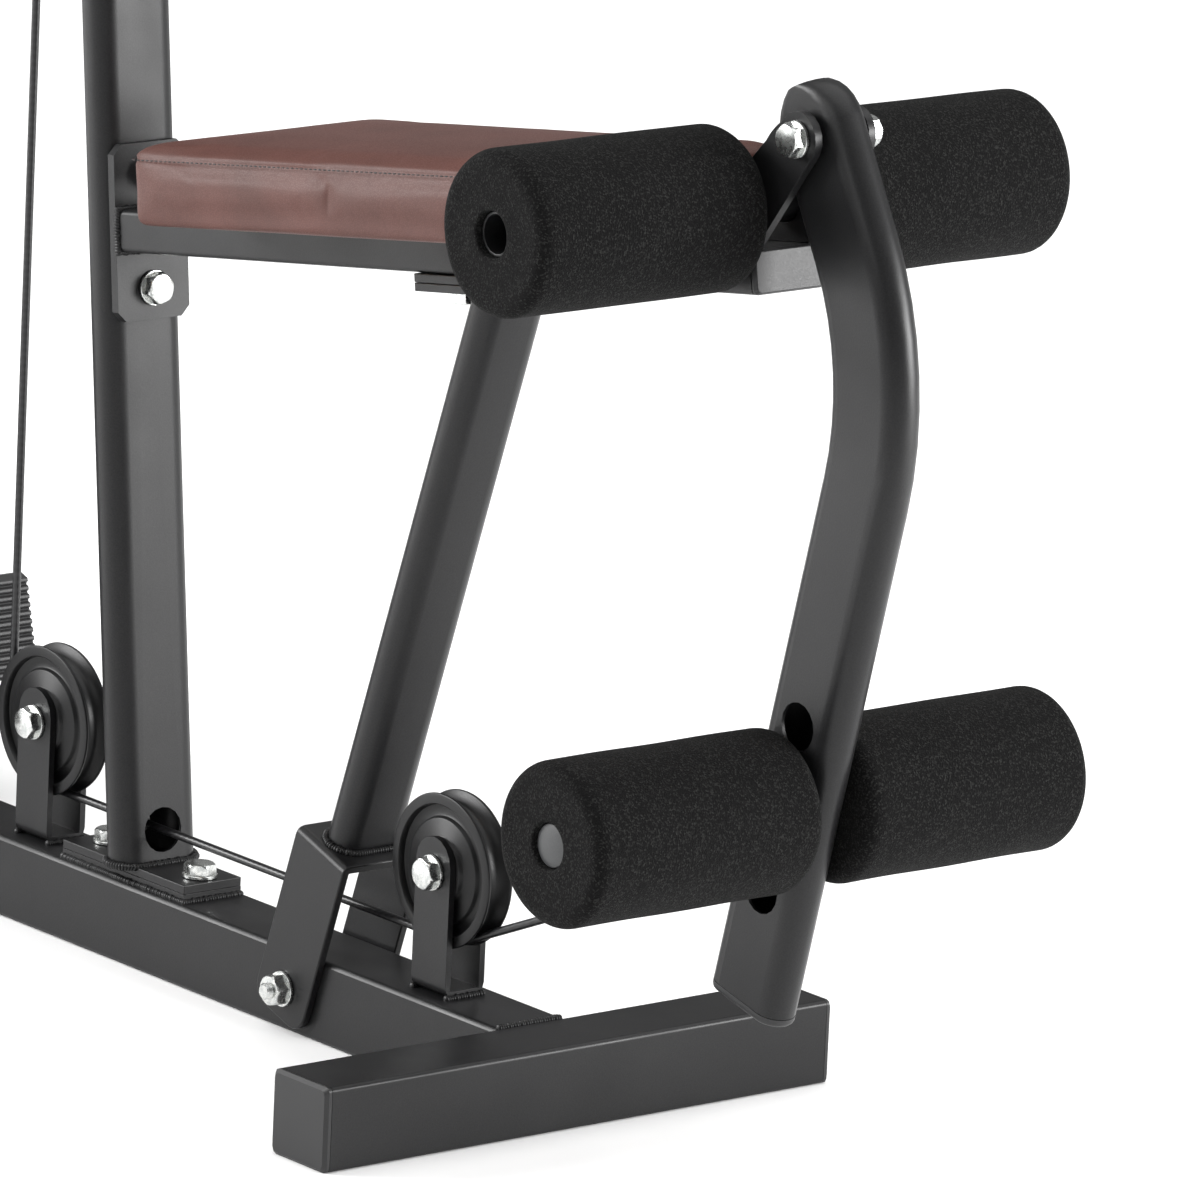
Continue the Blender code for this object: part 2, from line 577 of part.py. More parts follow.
def pulley(name, y, z):
    groove = CABLE_WRAP_R - CABLE_R - RUN_GAP - GAP
    flank = groove - RIM_DEPTH
    wide, narrow = GROOVE_HALF_WIDTHS
    profile = [(-HUB_HALF_WIDTH, PULLEY_BORE_R), (-HUB_HALF_WIDTH, HUB_R), (-PULLEY_WEB, HUB_R + HUB_FLARE),
               (-PULLEY_WEB, flank - HUB_FLARE), (-PULLEY_HALF_WIDTH, flank), (-PULLEY_HALF_WIDTH, PULLEY_R),
               (-wide, PULLEY_R), (-narrow, groove)]
    profile += [(-x, r) for x, r in reversed(profile)]
    add(name, turned_x(name, profile, PULLEY_STEPS), GREY_PLASTIC, (0, y, z))


def pulleys():
    for word, y, face, up in (("front", FRONT_PULLEY_Y, BAR, 1), ("rear", REAR_PULLEY_Y, BAR, 1),
                              ("top_front", TOP_FRONT_PULLEY_Y, MACHINE_TOP - BAR, -1),
                              ("top_rear", TOP_REAR_PULLEY_Y, MACHINE_TOP - BAR, -1)):
        pulley_bracket(word + "_pulley_bracket", y, face, up)
        pulley(word + "_pulley", y, face + up * AXLE_HEIGHT)


def cheeks():
    """Two plates on top of the seat frame that hold the lever's pivot and the upper roller tube."""
    front, rear = CHEEK_FOOT_Y
    outline = [(rear, seat_top(rear) + GAP), (front, seat_top(front) + GAP)] \
        + arc((PIVOT_Y, PIVOT_Z), CHEEK_END_R, *CHEEK_END_ARC, 8)
    for side, word in ((-1, "left"), (1, "right")):
        low, high = sorted((side * CHEEK_INNER, side * (CHEEK_INNER + PLATE)))
        cheek = add("pivot_cheek_" + word, prism_x("cheek", outline, low, high), COAT)
        cut(cheek, drill("pivot_way_" + word, BOLT_HOLE_R, (0, PIVOT_Y, PIVOT_Z), 2 * BAR, "X"))
        tube_at = (0, UPPER_ROLLER_Y, UPPER_ROLLER_Z)
        cut(cheek, drill("tube_way_" + word, ROLLER_TUBE_R + RUN_GAP, tube_at, 2 * BAR, "X"))
    outer = CHEEK_INNER + PLATE
    bolt("pivot_bolt", (-outer, PIVOT_Y, PIVOT_Z), 2 * outer, "-X")


def roller_tube(name, half, center, at):
    """center is the tube's middle in its object's frame."""
    outer, inner = circle(ROLLER_TUBE_R, 16), circle(ROLLER_TUBE_R - ROLLER_TUBE_WALL, 16)
    places = [((side * half, center[0], center[1]), (0, 1, 0), (0, 0, 1)) for side in (-1, 1)]
    add(name, hollow(name, outer, inner, places), COAT, at)


def roller(name, side, inner_x, y, z):
    low = inner_x if side > 0 else -inner_x - ROLLER_LENGTH
    bore = ROLLER_TUBE_R + RUN_GAP
    profile = [(low, bore)] + roller_side(low, low + ROLLER_LENGTH) + [(low + ROLLER_LENGTH, bore)]
    add(name, turned_x(name, profile, 24), FOAM, (0, y, z))


def roller_side(low, high):
    """The outer side of a roller from end to end, with rounded rims."""
    rim = [(ROLLER_EDGE * (1 - cos(a)), ROLLER_R - ROLLER_EDGE * (1 - sin(a))) for a in (0, pi / 4, pi / 2)]
    return [(low + x, r) for x, r in rim] + [(high - x, r) for x, r in reversed(rim)]


def lever_point(distance):
    """Point and downward direction of the lever's centreline, measured from the head's centre."""
    upper = LEVER_HEAD_RISE + LEVER_UPPER_LENGTH
    bend = LEVER_BEND_R * (LEVER_UPPER_LEAN + LEVER_LOWER_LEAN)
    down = Vector((0, -sin(LEVER_UPPER_LEAN), -cos(LEVER_UPPER_LEAN)))
    back = Vector((0, cos(LEVER_UPPER_LEAN), -sin(LEVER_UPPER_LEAN)))
    start = back * LEVER_PIVOT_OFFSET - down * LEVER_HEAD_RISE
    if distance <= upper:
        return start + down * distance, down
    middle = start + down * upper + back * LEVER_BEND_R
    turned = min(distance - upper, bend) / LEVER_BEND_R
    angle = turned - LEVER_UPPER_LEAN
    outward = Vector((0, -cos(angle), -sin(angle)))
    heading = Vector((0, sin(angle), -cos(angle)))
    point = middle + outward * LEVER_BEND_R
    return point + heading * max(distance - upper - bend, 0), heading


def lever_length():
    bend = LEVER_BEND_R * (LEVER_UPPER_LEAN + LEVER_LOWER_LEAN)
    return LEVER_HEAD_RISE + LEVER_UPPER_LENGTH + bend + LEVER_LOWER_LENGTH


def lever():
    """Bent flat-oval tube hung on the pivot, closed by a rounded head, with holes and a cable tab."""
    pivot = Vector((0, PIVOT_Y, PIVOT_Z))
    length, upper = lever_length(), LEVER_HEAD_RISE + LEVER_UPPER_LENGTH
    bend = LEVER_BEND_R * (LEVER_UPPER_LEAN + LEVER_LOWER_LEAN)
    stations = [0] + [upper + bend * i / 8 for i in range(9)] + [length]
    outer = rounded(LEVER_DEPTH, LEVER_WIDTH, LEVER_WIDTH / 2, 4)
    inner = rounded(LEVER_DEPTH - 2 * OVAL_WALL, LEVER_WIDTH - 2 * OVAL_WALL, LEVER_WIDTH / 2 - OVAL_WALL, 4)
    places = [lever_place(station) for station in stations]
    steepest = acos((LEVER_WIDTH + GAP) / LEVER_DEPTH)      # the last ring is all but a circle
    head = []
    for i in range(5, 0, -1):
        angle = steepest * i / 5
        origin, u, v = places[0]
        top = origin - lever_point(0)[1] * (LEVER_DEPTH / 2 * sin(angle))
        head.append(ring(rounded(LEVER_DEPTH * cos(angle), LEVER_WIDTH, LEVER_WIDTH / 2, 4), top, u, v))
    rings = head + [ring(outer, *place) for place in places] + [ring(inner, *place) for place in reversed(places)]
    tube = add("lever", loft("lever", rings, smooth=True), COAT, pivot)
    weld_tab(tube, pivot)
    cut(tube, drill("lever_pivot_way", BOLT_HOLE_R, pivot, 2 * BAR, "X"))
    for i, from_end in enumerate(LEVER_HOLES):
        hole = pivot + lever_point(length - from_end)[0]
        cut(tube, drill(f"lever_way_{i + 1}", LEVER_HOLE_R, hole, 2 * BAR, "X"))
    tube_at = lever_point(length - LEVER_HOLES[1])[0]
    half = LOWER_ROLLER_INNER + ROLLER_LENGTH - ROLLER_EDGE / 2
    roller_tube("lower_roller_tube", half, (tube_at.y, tube_at.z), pivot)
    return pivot + tube_at


def lever_place(distance):
    point, heading = lever_point(distance)
    return point, Vector((1, 0, 0)).cross(heading), Vector((1, 0, 0))


def cable_tab_eye():
    """Centre of the tab's eye, from the pivot."""
    point, heading = lever_point(lever_length() - TAB_FROM_END)
    back = Vector((0, -heading.z, heading.y))
    return point + back * (LEVER_DEPTH / 2 + TAB_REACH / 2 + GAP), heading, back


def weld_tab(tube, pivot):
    """Small plate with an eye on the lever's rear edge, sunk half a wall into it."""
    eye, heading, back = cable_tab_eye()
    half = TAB_REACH / 2
    base_line = eye - back * (half + GAP + OVAL_WALL / 2)
    start = atan2(-heading.z, -heading.y)
    rim = arc((eye.y, eye.z), half, start, start - pi, 8)
    corners = [base_line + heading * half, base_line - heading * half]
    outline = [(corner.y, corner.z) for corner in corners] + rim
    cut(tube, cutter("cable_tab", prism_x("cable_tab", outline, -PLATE / 2, PLATE / 2), pivot), "UNION")
    cut(tube, drill("tab_eye", BOLT_R, pivot + eye, 2 * PLATE, "X"))


def rollers(lower_at):
    tube_half = UPPER_ROLLER_INNER + ROLLER_LENGTH - ROLLER_EDGE / 2
    roller_tube("upper_roller_tube", tube_half, (0, 0), (0, UPPER_ROLLER_Y, UPPER_ROLLER_Z))
    for side, word in ((-1, "left"), (1, "right")):
        roller("upper_roller_" + word, side, UPPER_ROLLER_INNER, UPPER_ROLLER_Y, UPPER_ROLLER_Z)
        roller("lower_roller_" + word, side, LOWER_ROLLER_INNER, lower_at.y, lower_at.z)


def foot_plates():
    """Ribbed foot rests in a pair, on a cross tube that lies on the base beam."""
    tube_z = BAR + GAP + ROLLER_TUBE_R
    half = FOOT_INNER + FOOT_WIDTH
    roller_tube("foot_plate_tube", half, (0, 0), (0, FOOT_TUBE_Y, tube_z))
    front = -FOOT_THICKNESS / 2
    outline = []
    for i in range(RIBS):
        z = RIB_START + i * RIB_PITCH
        outline += [(front, z), (front - RIB_DEPTH, z + RIB_PITCH / 5), (front - RIB_DEPTH, z + RIB_PITCH * 3 / 5),
                    (front, z + RIB_PITCH * 4 / 5)]
    outline += [(front + FOOT_EASE, FOOT_HEIGHT), (-front, FOOT_HEIGHT), (-front, 0)]
    low = tube_z + ROLLER_TUBE_R + GAP + FOOT_LIFT
    for side, word in ((-1, "left"), (1, "right")):
        ends = sorted((side * FOOT_INNER, side * (FOOT_INNER + FOOT_WIDTH)))
        shape = prism_x("foot", outline, *ends)
        add("foot_plate_" + word, shape, BLACK_PLASTIC, (0, FOOT_TUBE_Y, low), -FOOT_LEAN)


def slab_rings(count, floor, head_height=0.0):
    """Rings of a pile of weights whose edges are eased where they meet."""
    full = rounded(STACK_WIDTH, STACK_DEPTH, SLAB_CORNER, 1)
    eased = rounded(STACK_WIDTH - 2 * SLAB_EDGE, STACK_DEPTH - 2 * SLAB_EDGE, SLAB_CORNER, 1)
    steps = []
    for i in range(count):
        low = floor + i * SLAB
        steps += [(low, eased), (low + SLAB_EDGE, full), (low + SLAB - SLAB_EDGE, full)]
    steps.append((floor + count * SLAB, eased))
    if head_height:
        sides, ends = HEAD_PLATE_INSET
        head = rounded(STACK_WIDTH - 2 * sides, STACK_DEPTH - 2 * ends, SLAB_CORNER, 1)
        steps += [(floor + count * SLAB, head), (floor + count * SLAB + head_height, head)]
    return [ring(outline, (0, DROP_Y, z)) for z, outline in steps]


def weight_stack():
    half_x, half_y = STACK_WIDTH / 2, STACK_DEPTH / 2
    low = BAR + GAP
    add("stack_base_plate", box("stack_base_plate", (-half_x, DROP_Y - half_y, low),
                                (half_x, DROP_Y + half_y, STACK_FLOOR)), COAT)
    resting = add("resting_weights", loft("resting_weights", slab_rings(RESTING_SLABS, STACK_FLOOR + GAP)), IRON)
    above = slab_rings(LIFTED_SLABS, LIFTED_FLOOR, HEAD_PLATE)
    lifted = add("lifted_weights", loft("lifted_weights", above), IRON)
    for side, word in ((-1, "left"), (1, "right")):
        at = (side * ROD_SPACING / 2, DROP_Y, MACHINE_TOP / 2)
        way = drill("rod_way_" + word, ROD_HOLE_R, at, MACHINE_TOP, "Z")
        for piece in (resting, lifted):
            cut(piece, way)
    stem_at = (0, DROP_Y, MACHINE_TOP / 2 + STACK_FLOOR)
    cut(resting, drill("stem_way", STEM_R + 2 * RUN_GAP, stem_at, MACHINE_TOP, "Z"))
    stem = prism_z("selector_stem", circle(STEM_R), STACK_FLOOR + 2 * GAP, LIFTED_TOP + STEM_TOP)
    cut(lifted, cutter("selector_stem", stem, (0, DROP_Y, 0)), "UNION")
    for i in range(RESTING_SLABS + LIFTED_SLABS):
        z = STACK_FLOOR + GAP + (i + 0.5) * SLAB if i < RESTING_SLABS \
            else LIFTED_FLOOR + (i - RESTING_SLABS + 0.5) * SLAB
        way = drill(f"pin_way_{i + 1}", PIN_HOLE_R, (0, DROP_Y - half_y / 2, z), half_y + 3 * STEM_R, "Y")
        cut(lifted, way)
        if i < RESTING_SLABS:
            cut(resting, way)
    guide_rods()
    selector_pin(LIFTED_FLOOR + SLAB / 2)


def guide_rods():
    """One round bar bent into a hoop: it stands on the base plate and passes under the top beam."""
    half, top = ROD_SPACING / 2, MACHINE_TOP - BAR - GAP - ROD_R
    foot = STACK_FLOOR + GAP
    path = [((-half, foot), 0)]
    for i in range(5):
        angle = i * pi / 8
        path.append(((-half + ROD_BEND * (1 - cos(angle)), top - ROD_BEND * (1 - sin(angle))), angle))
    path += [((-x, z), pi - angle) for (x, z), angle in reversed(path)]
    rings = [ring(circle(ROD_R, 12), (x, DROP_Y, z), (cos(angle), 0, -sin(angle)), (0, 1, 0))
             for (x, z), angle in path]
    add("guide_rods", loft("guide_rods", rings, smooth=True), CHROME)


def selector_pin(z):
    face = DROP_Y - STACK_DEPTH / 2
    at = (0, face, z)
    length = STACK_DEPTH / 2 + STEM_R
    sections = [(-KNOB_LENGTH, KNOB_R - KNOB_EDGE), (-KNOB_LENGTH + KNOB_EDGE, KNOB_R), (-COLLAR_LENGTH, KNOB_R),
                (-COLLAR_LENGTH + KNOB_EDGE, COLLAR_R), (-GAP, COLLAR_R), (-GAP, PIN_R), (length, PIN_R)]
    rings = [ring(circle(radius), (0, y, 0), (1, 0, 0), (0, 0, 1)) for y, radius in sections]
    add("selector_pin", loft("selector_pin", rings), BLACK_PLASTIC, at)


def tower():
    """Rear column and the beam that ties it to the upright."""
    front = upright_y(MACHINE_TOP) - BAR
    column_y = BASE_LENGTH - 3 * BAR / 2 - COLUMN_GAP
    ends = [((0, column_y, z), (1, 0, 0), (0, 1, 0)) for z in (BAR + GAP, MACHINE_TOP - BAR - GAP)]
    add("rear_column", hollow("rear_column", BAR_OUTER, BAR_INNER, ends), COAT)
    ends = [((0, y, MACHINE_TOP - BAR / 2), (1, 0, 0), (0, 0, 1)) for y in (front, column_y + BAR)]
    add("top_beam", hollow("top_beam", BAR_OUTER, BAR_INNER, ends), COAT)


def cord(name, points):
    """A cable along points in the plane x = 0."""
    curve = bpy.data.curves.new(name, "CURVE")
    curve.dimensions = "3D"
    spline = curve.splines.new("POLY")
    spline.points.add(len(points) - 1)
    for target, (y, z) in zip(spline.points, points):
        target.co = (0, y, z, 1)
    curve.bevel_depth = CABLE_R
    curve.bevel_resolution = 2
    curve.use_fill_caps = True
    add(name, curve, CABLE)


def cables():
    """Tail from the lever's tab, run over all four pulleys, and drop to the weights."""
    eye = Vector((PIVOT_Y, PIVOT_Z)) + cable_tab_eye()[0].yz
    center = Vector((FRONT_PULLEY_Y, AXLE_Z))
    to_eye = eye - center
    touch = atan2(to_eye.y, to_eye.x) + acos(CABLE_WRAP_R / to_eye.length)
    first = arc(center, CABLE_WRAP_R, touch, 3 * pi / 2, 4)
    start = Vector(first[0])
    along = (eye - start).normalized()
    length = (eye - start).length - TAB_REACH / 2 - RUN_GAP - GAP
    cord("cable_tail", [start + along * (GAP + (length - GAP) * i / 5) for i in range(6)])
    route = first
    route += arc((REAR_PULLEY_Y, AXLE_Z), CABLE_WRAP_R, -pi / 2, 0, 8)
    route += arc((TOP_FRONT_PULLEY_Y, TOP_AXLE_Z), CABLE_WRAP_R, pi, pi / 2, 8)
    route += arc((TOP_REAR_PULLEY_Y, TOP_AXLE_Z), CABLE_WRAP_R, pi / 2, 0, 8)
    cord("cable_run", route)
    low = LIFTED_TOP + STEM_TOP + GAP
    high = TOP_AXLE_Z - GAP
    cord("cable_drop", [(DROP_Y, low + (high - low) * i / 5) for i in range(6)])


def centre_on_floor():
    """Move everything along Y so that the outline's middle is at the origin."""
    bpy.context.view_layer.update()
    graph = bpy.context.evaluated_depsgraph_get()
    spread = []
    for made in bpy.context.scene.objects:
        if not made.hide_render:
            solid = made.evaluated_get(graph)
            spread += [(made.matrix_world @ Vector(corner)).y for corner in exact_box(solid)]
    middle = (min(spread) + max(spread)) / 2
    for made in bpy.context.scene.objects:
        made.location.y -= middle


def exact_box(solid):
    mesh = solid.to_mesh()
    points = [vertex.co.copy() for vertex in mesh.vertices]
    solid.to_mesh_clear()
    return points


def main():
    for old in list(bpy.data.objects):
        bpy.data.objects.remove(old)
    base()
    upright()
    seat_frame()
    seat()
    support_post()
    pulleys()
    cheeks()
    rollers(lever())
    foot_plates()
    weight_stack()
    tower()
    cables()
    centre_on_floor()


main()
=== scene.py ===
import json
from math import acos, atan, atan2, cos, pi, radians, sin, tau

import bmesh
import bpy
import numpy as np
from mathutils import Matrix, Vector


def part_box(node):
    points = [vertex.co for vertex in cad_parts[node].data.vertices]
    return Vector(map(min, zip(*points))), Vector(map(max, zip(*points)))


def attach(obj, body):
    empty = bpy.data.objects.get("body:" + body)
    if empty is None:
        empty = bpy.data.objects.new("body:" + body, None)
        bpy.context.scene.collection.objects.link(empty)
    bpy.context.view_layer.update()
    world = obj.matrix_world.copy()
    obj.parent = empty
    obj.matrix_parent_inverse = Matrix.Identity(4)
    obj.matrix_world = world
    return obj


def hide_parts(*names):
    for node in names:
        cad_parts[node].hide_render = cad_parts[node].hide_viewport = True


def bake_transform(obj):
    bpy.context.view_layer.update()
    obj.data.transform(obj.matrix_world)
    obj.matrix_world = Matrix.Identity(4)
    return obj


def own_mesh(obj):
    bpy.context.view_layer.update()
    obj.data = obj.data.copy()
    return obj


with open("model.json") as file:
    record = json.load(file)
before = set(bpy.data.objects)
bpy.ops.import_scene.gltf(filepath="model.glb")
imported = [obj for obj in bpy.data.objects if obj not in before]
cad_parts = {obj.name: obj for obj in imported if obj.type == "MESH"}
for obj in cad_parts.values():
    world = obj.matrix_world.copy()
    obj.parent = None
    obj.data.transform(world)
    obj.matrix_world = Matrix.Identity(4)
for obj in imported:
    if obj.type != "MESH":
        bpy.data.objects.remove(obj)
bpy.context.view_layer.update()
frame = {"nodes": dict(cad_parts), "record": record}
scene = bpy.context.scene
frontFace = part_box("front_crossbar")[0].y      # places along the machine are told from here
print("frame loaded:", len(frame["nodes"]), "nodes")


# ---------- small helpers ----------

def toLinear(code):
    """sRGB hex to linear RGBA"""
    parts = [int(code[i:i + 2], 16) / 255 for i in (1, 3, 5)]
    return (*[c / 12.92 if c <= 0.04045 else ((c + 0.055) / 1.055) ** 2.4 for c in parts], 1)


def addNode(tree, kind, settings=None, **inputs):
    """adds a node, sets its properties, and fills or links its inputs"""
    made = tree.nodes.new(kind)
    for key, value in (settings or {}).items():
        setattr(made, key, value)
    for key, value in inputs.items():
        numbered = key[0] == "i" and key[1:].isdigit()
        socket = made.inputs[int(key[1:]) if numbered else key.replace("_", " ")]
        if isinstance(value, bpy.types.NodeSocket):
            tree.links.new(value, socket)
        else:
            socket.default_value = value
    return made


def meshOf(name, rings, closed=False, capped=True):
    """a skin through rings of equal length"""
    shape = bmesh.new()
    loops = [[shape.verts.new(point) for point in ring] for ring in rings]
    pairs = list(zip(loops, loops[1:])) + ([(loops[-1], loops[0])] if closed else [])
    if not closed and capped:
        shape.faces.new(loops[0])
        shape.faces.new(loops[-1])
    for here, there in pairs:
        for i in range(len(here)):
            j = (i + 1) % len(here)
            shape.faces.new((here[i], here[j], there[j], there[i]))
    bmesh.ops.recalc_face_normals(shape, faces=shape.faces)
    mesh = bpy.data.meshes.new(name)
    shape.to_mesh(mesh)
    shape.free()
    return mesh


def place(name, mesh, material, smoothAngle=35):
    mesh.materials.clear()
    mesh.materials.append(material)
    if smoothAngle:
        mesh.shade_smooth()
        mesh.set_sharp_from_angle(angle=radians(smoothAngle))
    made = bpy.data.objects.new(name, mesh)
    scene.collection.objects.link(made)
    return made


def settle(piece, body, slot, *nodes):
    """rides on a body and stands for CAD nodes; slot is not used"""
    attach(piece, body)
    if nodes:
        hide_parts(*nodes)
    return piece


def bodyOf(node):
    return next(name for name, nodes in frame["record"]["behaviour"]["bodies"].items() if node in nodes)


def slotOf(node):
    return next(part["material_slot"] for part in frame["record"]["subparts"] if part["node"] == node)


def mergedCopy(node):
    """the node's mesh with its loose triangles joined and flat faces made whole"""
    shape = bmesh.new()
    shape.from_mesh(frame["nodes"][node].data)
    bmesh.ops.remove_doubles(shape, verts=shape.verts, dist=2e-5)
    bmesh.ops.dissolve_limit(shape, angle_limit=radians(1.0), verts=shape.verts, edges=shape.edges)
    mesh = bpy.data.meshes.new(node)
    shape.to_mesh(mesh)
    shape.free()
    return mesh


def bake(piece):
    """turns live modifiers into plain mesh"""
    graph = bpy.context.evaluated_depsgraph_get()
    mesh = bpy.data.meshes.new_from_object(piece.evaluated_get(graph))
    piece.modifiers.clear()
    old, piece.data = piece.data, mesh
    if isinstance(old, bpy.types.Mesh):
        bpy.data.meshes.remove(old)
    return piece


def localBox(node, tilt):
    """lowest and highest corner of a node in axes turned by tilt about X"""
    turn = Matrix.Rotation(-tilt, 3, "X")
    points = np.array([turn @ v.co for v in frame["nodes"][node].data.vertices])
    return Vector(points.min(0)), Vector(points.max(0))


def turned(profile, count):
    """rings of a profile of (along, radius) turned about X"""
    angles = [tau * i / count for i in range(count)]
    return [[Vector((x, r * cos(angle), r * sin(angle))) for angle in angles] for x, r in profile]


# ---------- materials ----------

def newMaterial(name):
    material = bpy.data.materials.new(name)
    material.use_nodes = True
    tree = material.node_tree
    tree.nodes.clear()
    output = tree.nodes.new("ShaderNodeOutputMaterial")
    shader = tree.nodes.new("ShaderNodeBsdfPrincipled")
    tree.links.new(shader.outputs[0], output.inputs[0])
    where = addNode(tree, "ShaderNodeTexCoord").outputs["Object"]
    return material, tree, shader, where


def grain(tree, where, sizeMm, detail=2.0, roughness=0.5):
    """noise whose features are about sizeMm across"""
    return addNode(tree, "ShaderNodeTexNoise", None, Vector=where, Scale=1000 / sizeMm, Detail=detail,
                   Roughness=roughness).outputs["Fac"]


def ramp(tree, value, low, high, dark, light):
    made = addNode(tree, "ShaderNodeValToRGB", None, Fac=value)
    first, last = made.color_ramp.elements
    first.position, first.color = low, dark
    last.position, last.color = high, light
    return made.outputs["Color"]


def span(tree, value, low, high, outLow, outHigh):
    return addNode(tree, "ShaderNodeMapRange", None, Value=value, From_Min=low, From_Max=high, To_Min=outLow,
                   To_Max=outHigh).outputs["Result"]


def bump(tree, shader, height, strength, depthMm):
    made = addNode(tree, "ShaderNodeBump", None, Height=height, Strength=strength, Distance=depthMm / 1000)
    tree.links.new(made.outputs["Normal"], shader.inputs["Normal"])


def powderCoat():
    """polyester powder baked on steel: satin black, with a fine sandy orange peel"""
    material, tree, shader, where = newMaterial("powder_coated_steel")
    peel = grain(tree, where, coatLook["peelMm"], 3, 0.6)
    drift = grain(tree, where, coatLook["driftMm"], 2)
    tree.links.new(ramp(tree, peel, 0.30, 0.72, toLinear(coatLook["dark"]), toLinear(coatLook["light"])),
                   shader.inputs["Base Color"])
    tree.links.new(span(tree, drift, 0.3, 0.7, *coatLook["roughness"]), shader.inputs["Roughness"])
    shader.inputs["Specular IOR Level"].default_value = coatLook["specular"]
    bump(tree, shader, peel, 0.55, 0.10)
    return material


def zincPlate():
    """bright zinc plate on steel fasteners: cool silver with a faint blue cast and soft scratches"""
    material, tree, shader, where = newMaterial("zinc_plated_steel")
    cloud = grain(tree, where, 3.0, 3)
    silver = ramp(tree, cloud, 0.3, 0.7, toLinear("#b9bcbb"), toLinear("#e4e5e2"))
    tree.links.new(silver, shader.inputs["Base Color"])
    tree.links.new(span(tree, cloud, 0.3, 0.7, 0.34, 0.20), shader.inputs["Roughness"])
    shader.inputs["Metallic"].default_value = 1.0
    bump(tree, shader, grain(tree, where, 0.5, 2), 0.25, 0.05)
    return material


def chromePlate():
    """polished chrome on the guide rods: near mirror, with faint wipe marks along the rod"""
    material, tree, shader, where = newMaterial("chrome_plated_bar")
    stretched = addNode(tree, "ShaderNodeMapping", None, Vector=where, Scale=(1, 1, 0.05)).outputs[0]
    wipe = grain(tree, stretched, 2.0, 3)
    mirror = ramp(tree, wipe, 0.3, 0.7, toLinear("#c4c6c8"), toLinear("#dcdddd"))
    tree.links.new(mirror, shader.inputs["Base Color"])
    tree.links.new(span(tree, wipe, 0.3, 0.7, 0.06, 0.16), shader.inputs["Roughness"])
    shader.inputs["Metallic"].default_value = 1.0
    return material


def mouldedPlastic(name, dark, light, roughness, grainMm, specular=0.5):
    """injection-moulded polypropylene or nylon with a spark-eroded grain"""
    material, tree, shader, where = newMaterial(name)
    cells = grain(tree, where, grainMm, 3, 0.6)
    tree.links.new(ramp(tree, cells, 0.3, 0.7, toLinear(dark), toLinear(light)), shader.inputs["Base Color"])
    tree.links.new(span(tree, cells, 0.3, 0.7, roughness - 0.06, roughness + 0.08), shader.inputs["Roughness"])
    shader.inputs["Specular IOR Level"].default_value = specular
    bump(tree, shader, cells, 0.35, 0.06)
    return material


def foamRubber():
    """closed-cell nitrile foam: matte black, skin broken by cells of about a millimetre; the sparse lighter
    cells are painted glints of foam cells catching the light
    """
    material, tree, shader, where = newMaterial("nitrile_foam")
    cells = addNode(tree, "ShaderNodeTexVoronoi", {"feature": "F1"}, Vector=where,
                    Scale=1000 / foamLook["cellMm"], Randomness=1.0)
    glintPick = addNode(tree, "ShaderNodeSeparateColor", None, Color=cells.outputs["Color"]).outputs["Red"]
    # painted glints: random cells lifted towards the light grey stand in for foam cells catching the light
    skin = ramp(tree, glintPick, 0.62, 1.0, toLinear(foamLook["dark"]), toLinear(foamLook["light"]))
    crumbs = grain(tree, where, foamLook["crumbMm"], 3, 0.7)
    wear = span(tree, crumbs, 0.45, 0.65, 0.0, 0.6)
    worn = addNode(tree, "ShaderNodeMix", {"data_type": "RGBA"}, i0=wear, i6=skin,
                   i7=toLinear(foamLook["mid"])).outputs[2]
    tree.links.new(worn, shader.inputs["Base Color"])
    shader.inputs["Roughness"].default_value = 0.95
    shader.inputs["Specular IOR Level"].default_value = 0.18
    pits = addNode(tree, "ShaderNodeMath", {"operation": "ADD"}, i0=cells.outputs["Distance"], i1=crumbs)
    bump(tree, shader, pits.outputs[0], 0.9, 0.4)
    return material


def vinylCover():
    """embossed PVC upholstery vinyl: leather grain of about 1.3 mm, soft sheen on the raised cells, painted
    shade darkening the creases between them
    """
    material, tree, shader, where = newMaterial("embossed_vinyl")
    cells = addNode(tree, "ShaderNodeTexVoronoi", {"feature": "DISTANCE_TO_EDGE"}, Vector=where,
                    Scale=1000 / vinylLook["grainMm"]).outputs["Distance"]
    raised = span(tree, cells, 0.0, 0.25, 0.0, 1.0)
    drift = grain(tree, where, 45, 3)
    base = ramp(tree, drift, 0.3, 0.7, toLinear(vinylLook["dark"]), toLinear(vinylLook["light"]))
    # painted shade: the creases between the raised grain cells are darkened towards the crease colour
    shadedGrain = addNode(tree, "ShaderNodeMix", {"data_type": "RGBA"}, i0=span(tree, raised, 0, 1, 0.25, 0.0),
                      i6=base, i7=toLinear(vinylLook["creaseShade"])).outputs[2]
    tree.links.new(shadedGrain, shader.inputs["Base Color"])
    tree.links.new(span(tree, raised, 0, 1, 0.62, 0.48), shader.inputs["Roughness"])
    shader.inputs["Specular IOR Level"].default_value = 0.32
    bump(tree, shader, raised, 0.30, 0.10)
    return material


def sewingThread():
    """bonded polyester thread: twisted strands, drawn as fine bands 0.6 mm apart"""
    material, tree, shader, where = newMaterial("polyester_thread")
    bands = addNode(tree, "ShaderNodeTexWave", None, Vector=where, Scale=250, Distortion=1.0).outputs["Fac"]
    strands = ramp(tree, bands, 0.2, 0.8, toLinear("#160d0b"), toLinear("#2b1a17"))
    tree.links.new(strands, shader.inputs["Base Color"])
    shader.inputs["Roughness"].default_value = 0.6
    return material


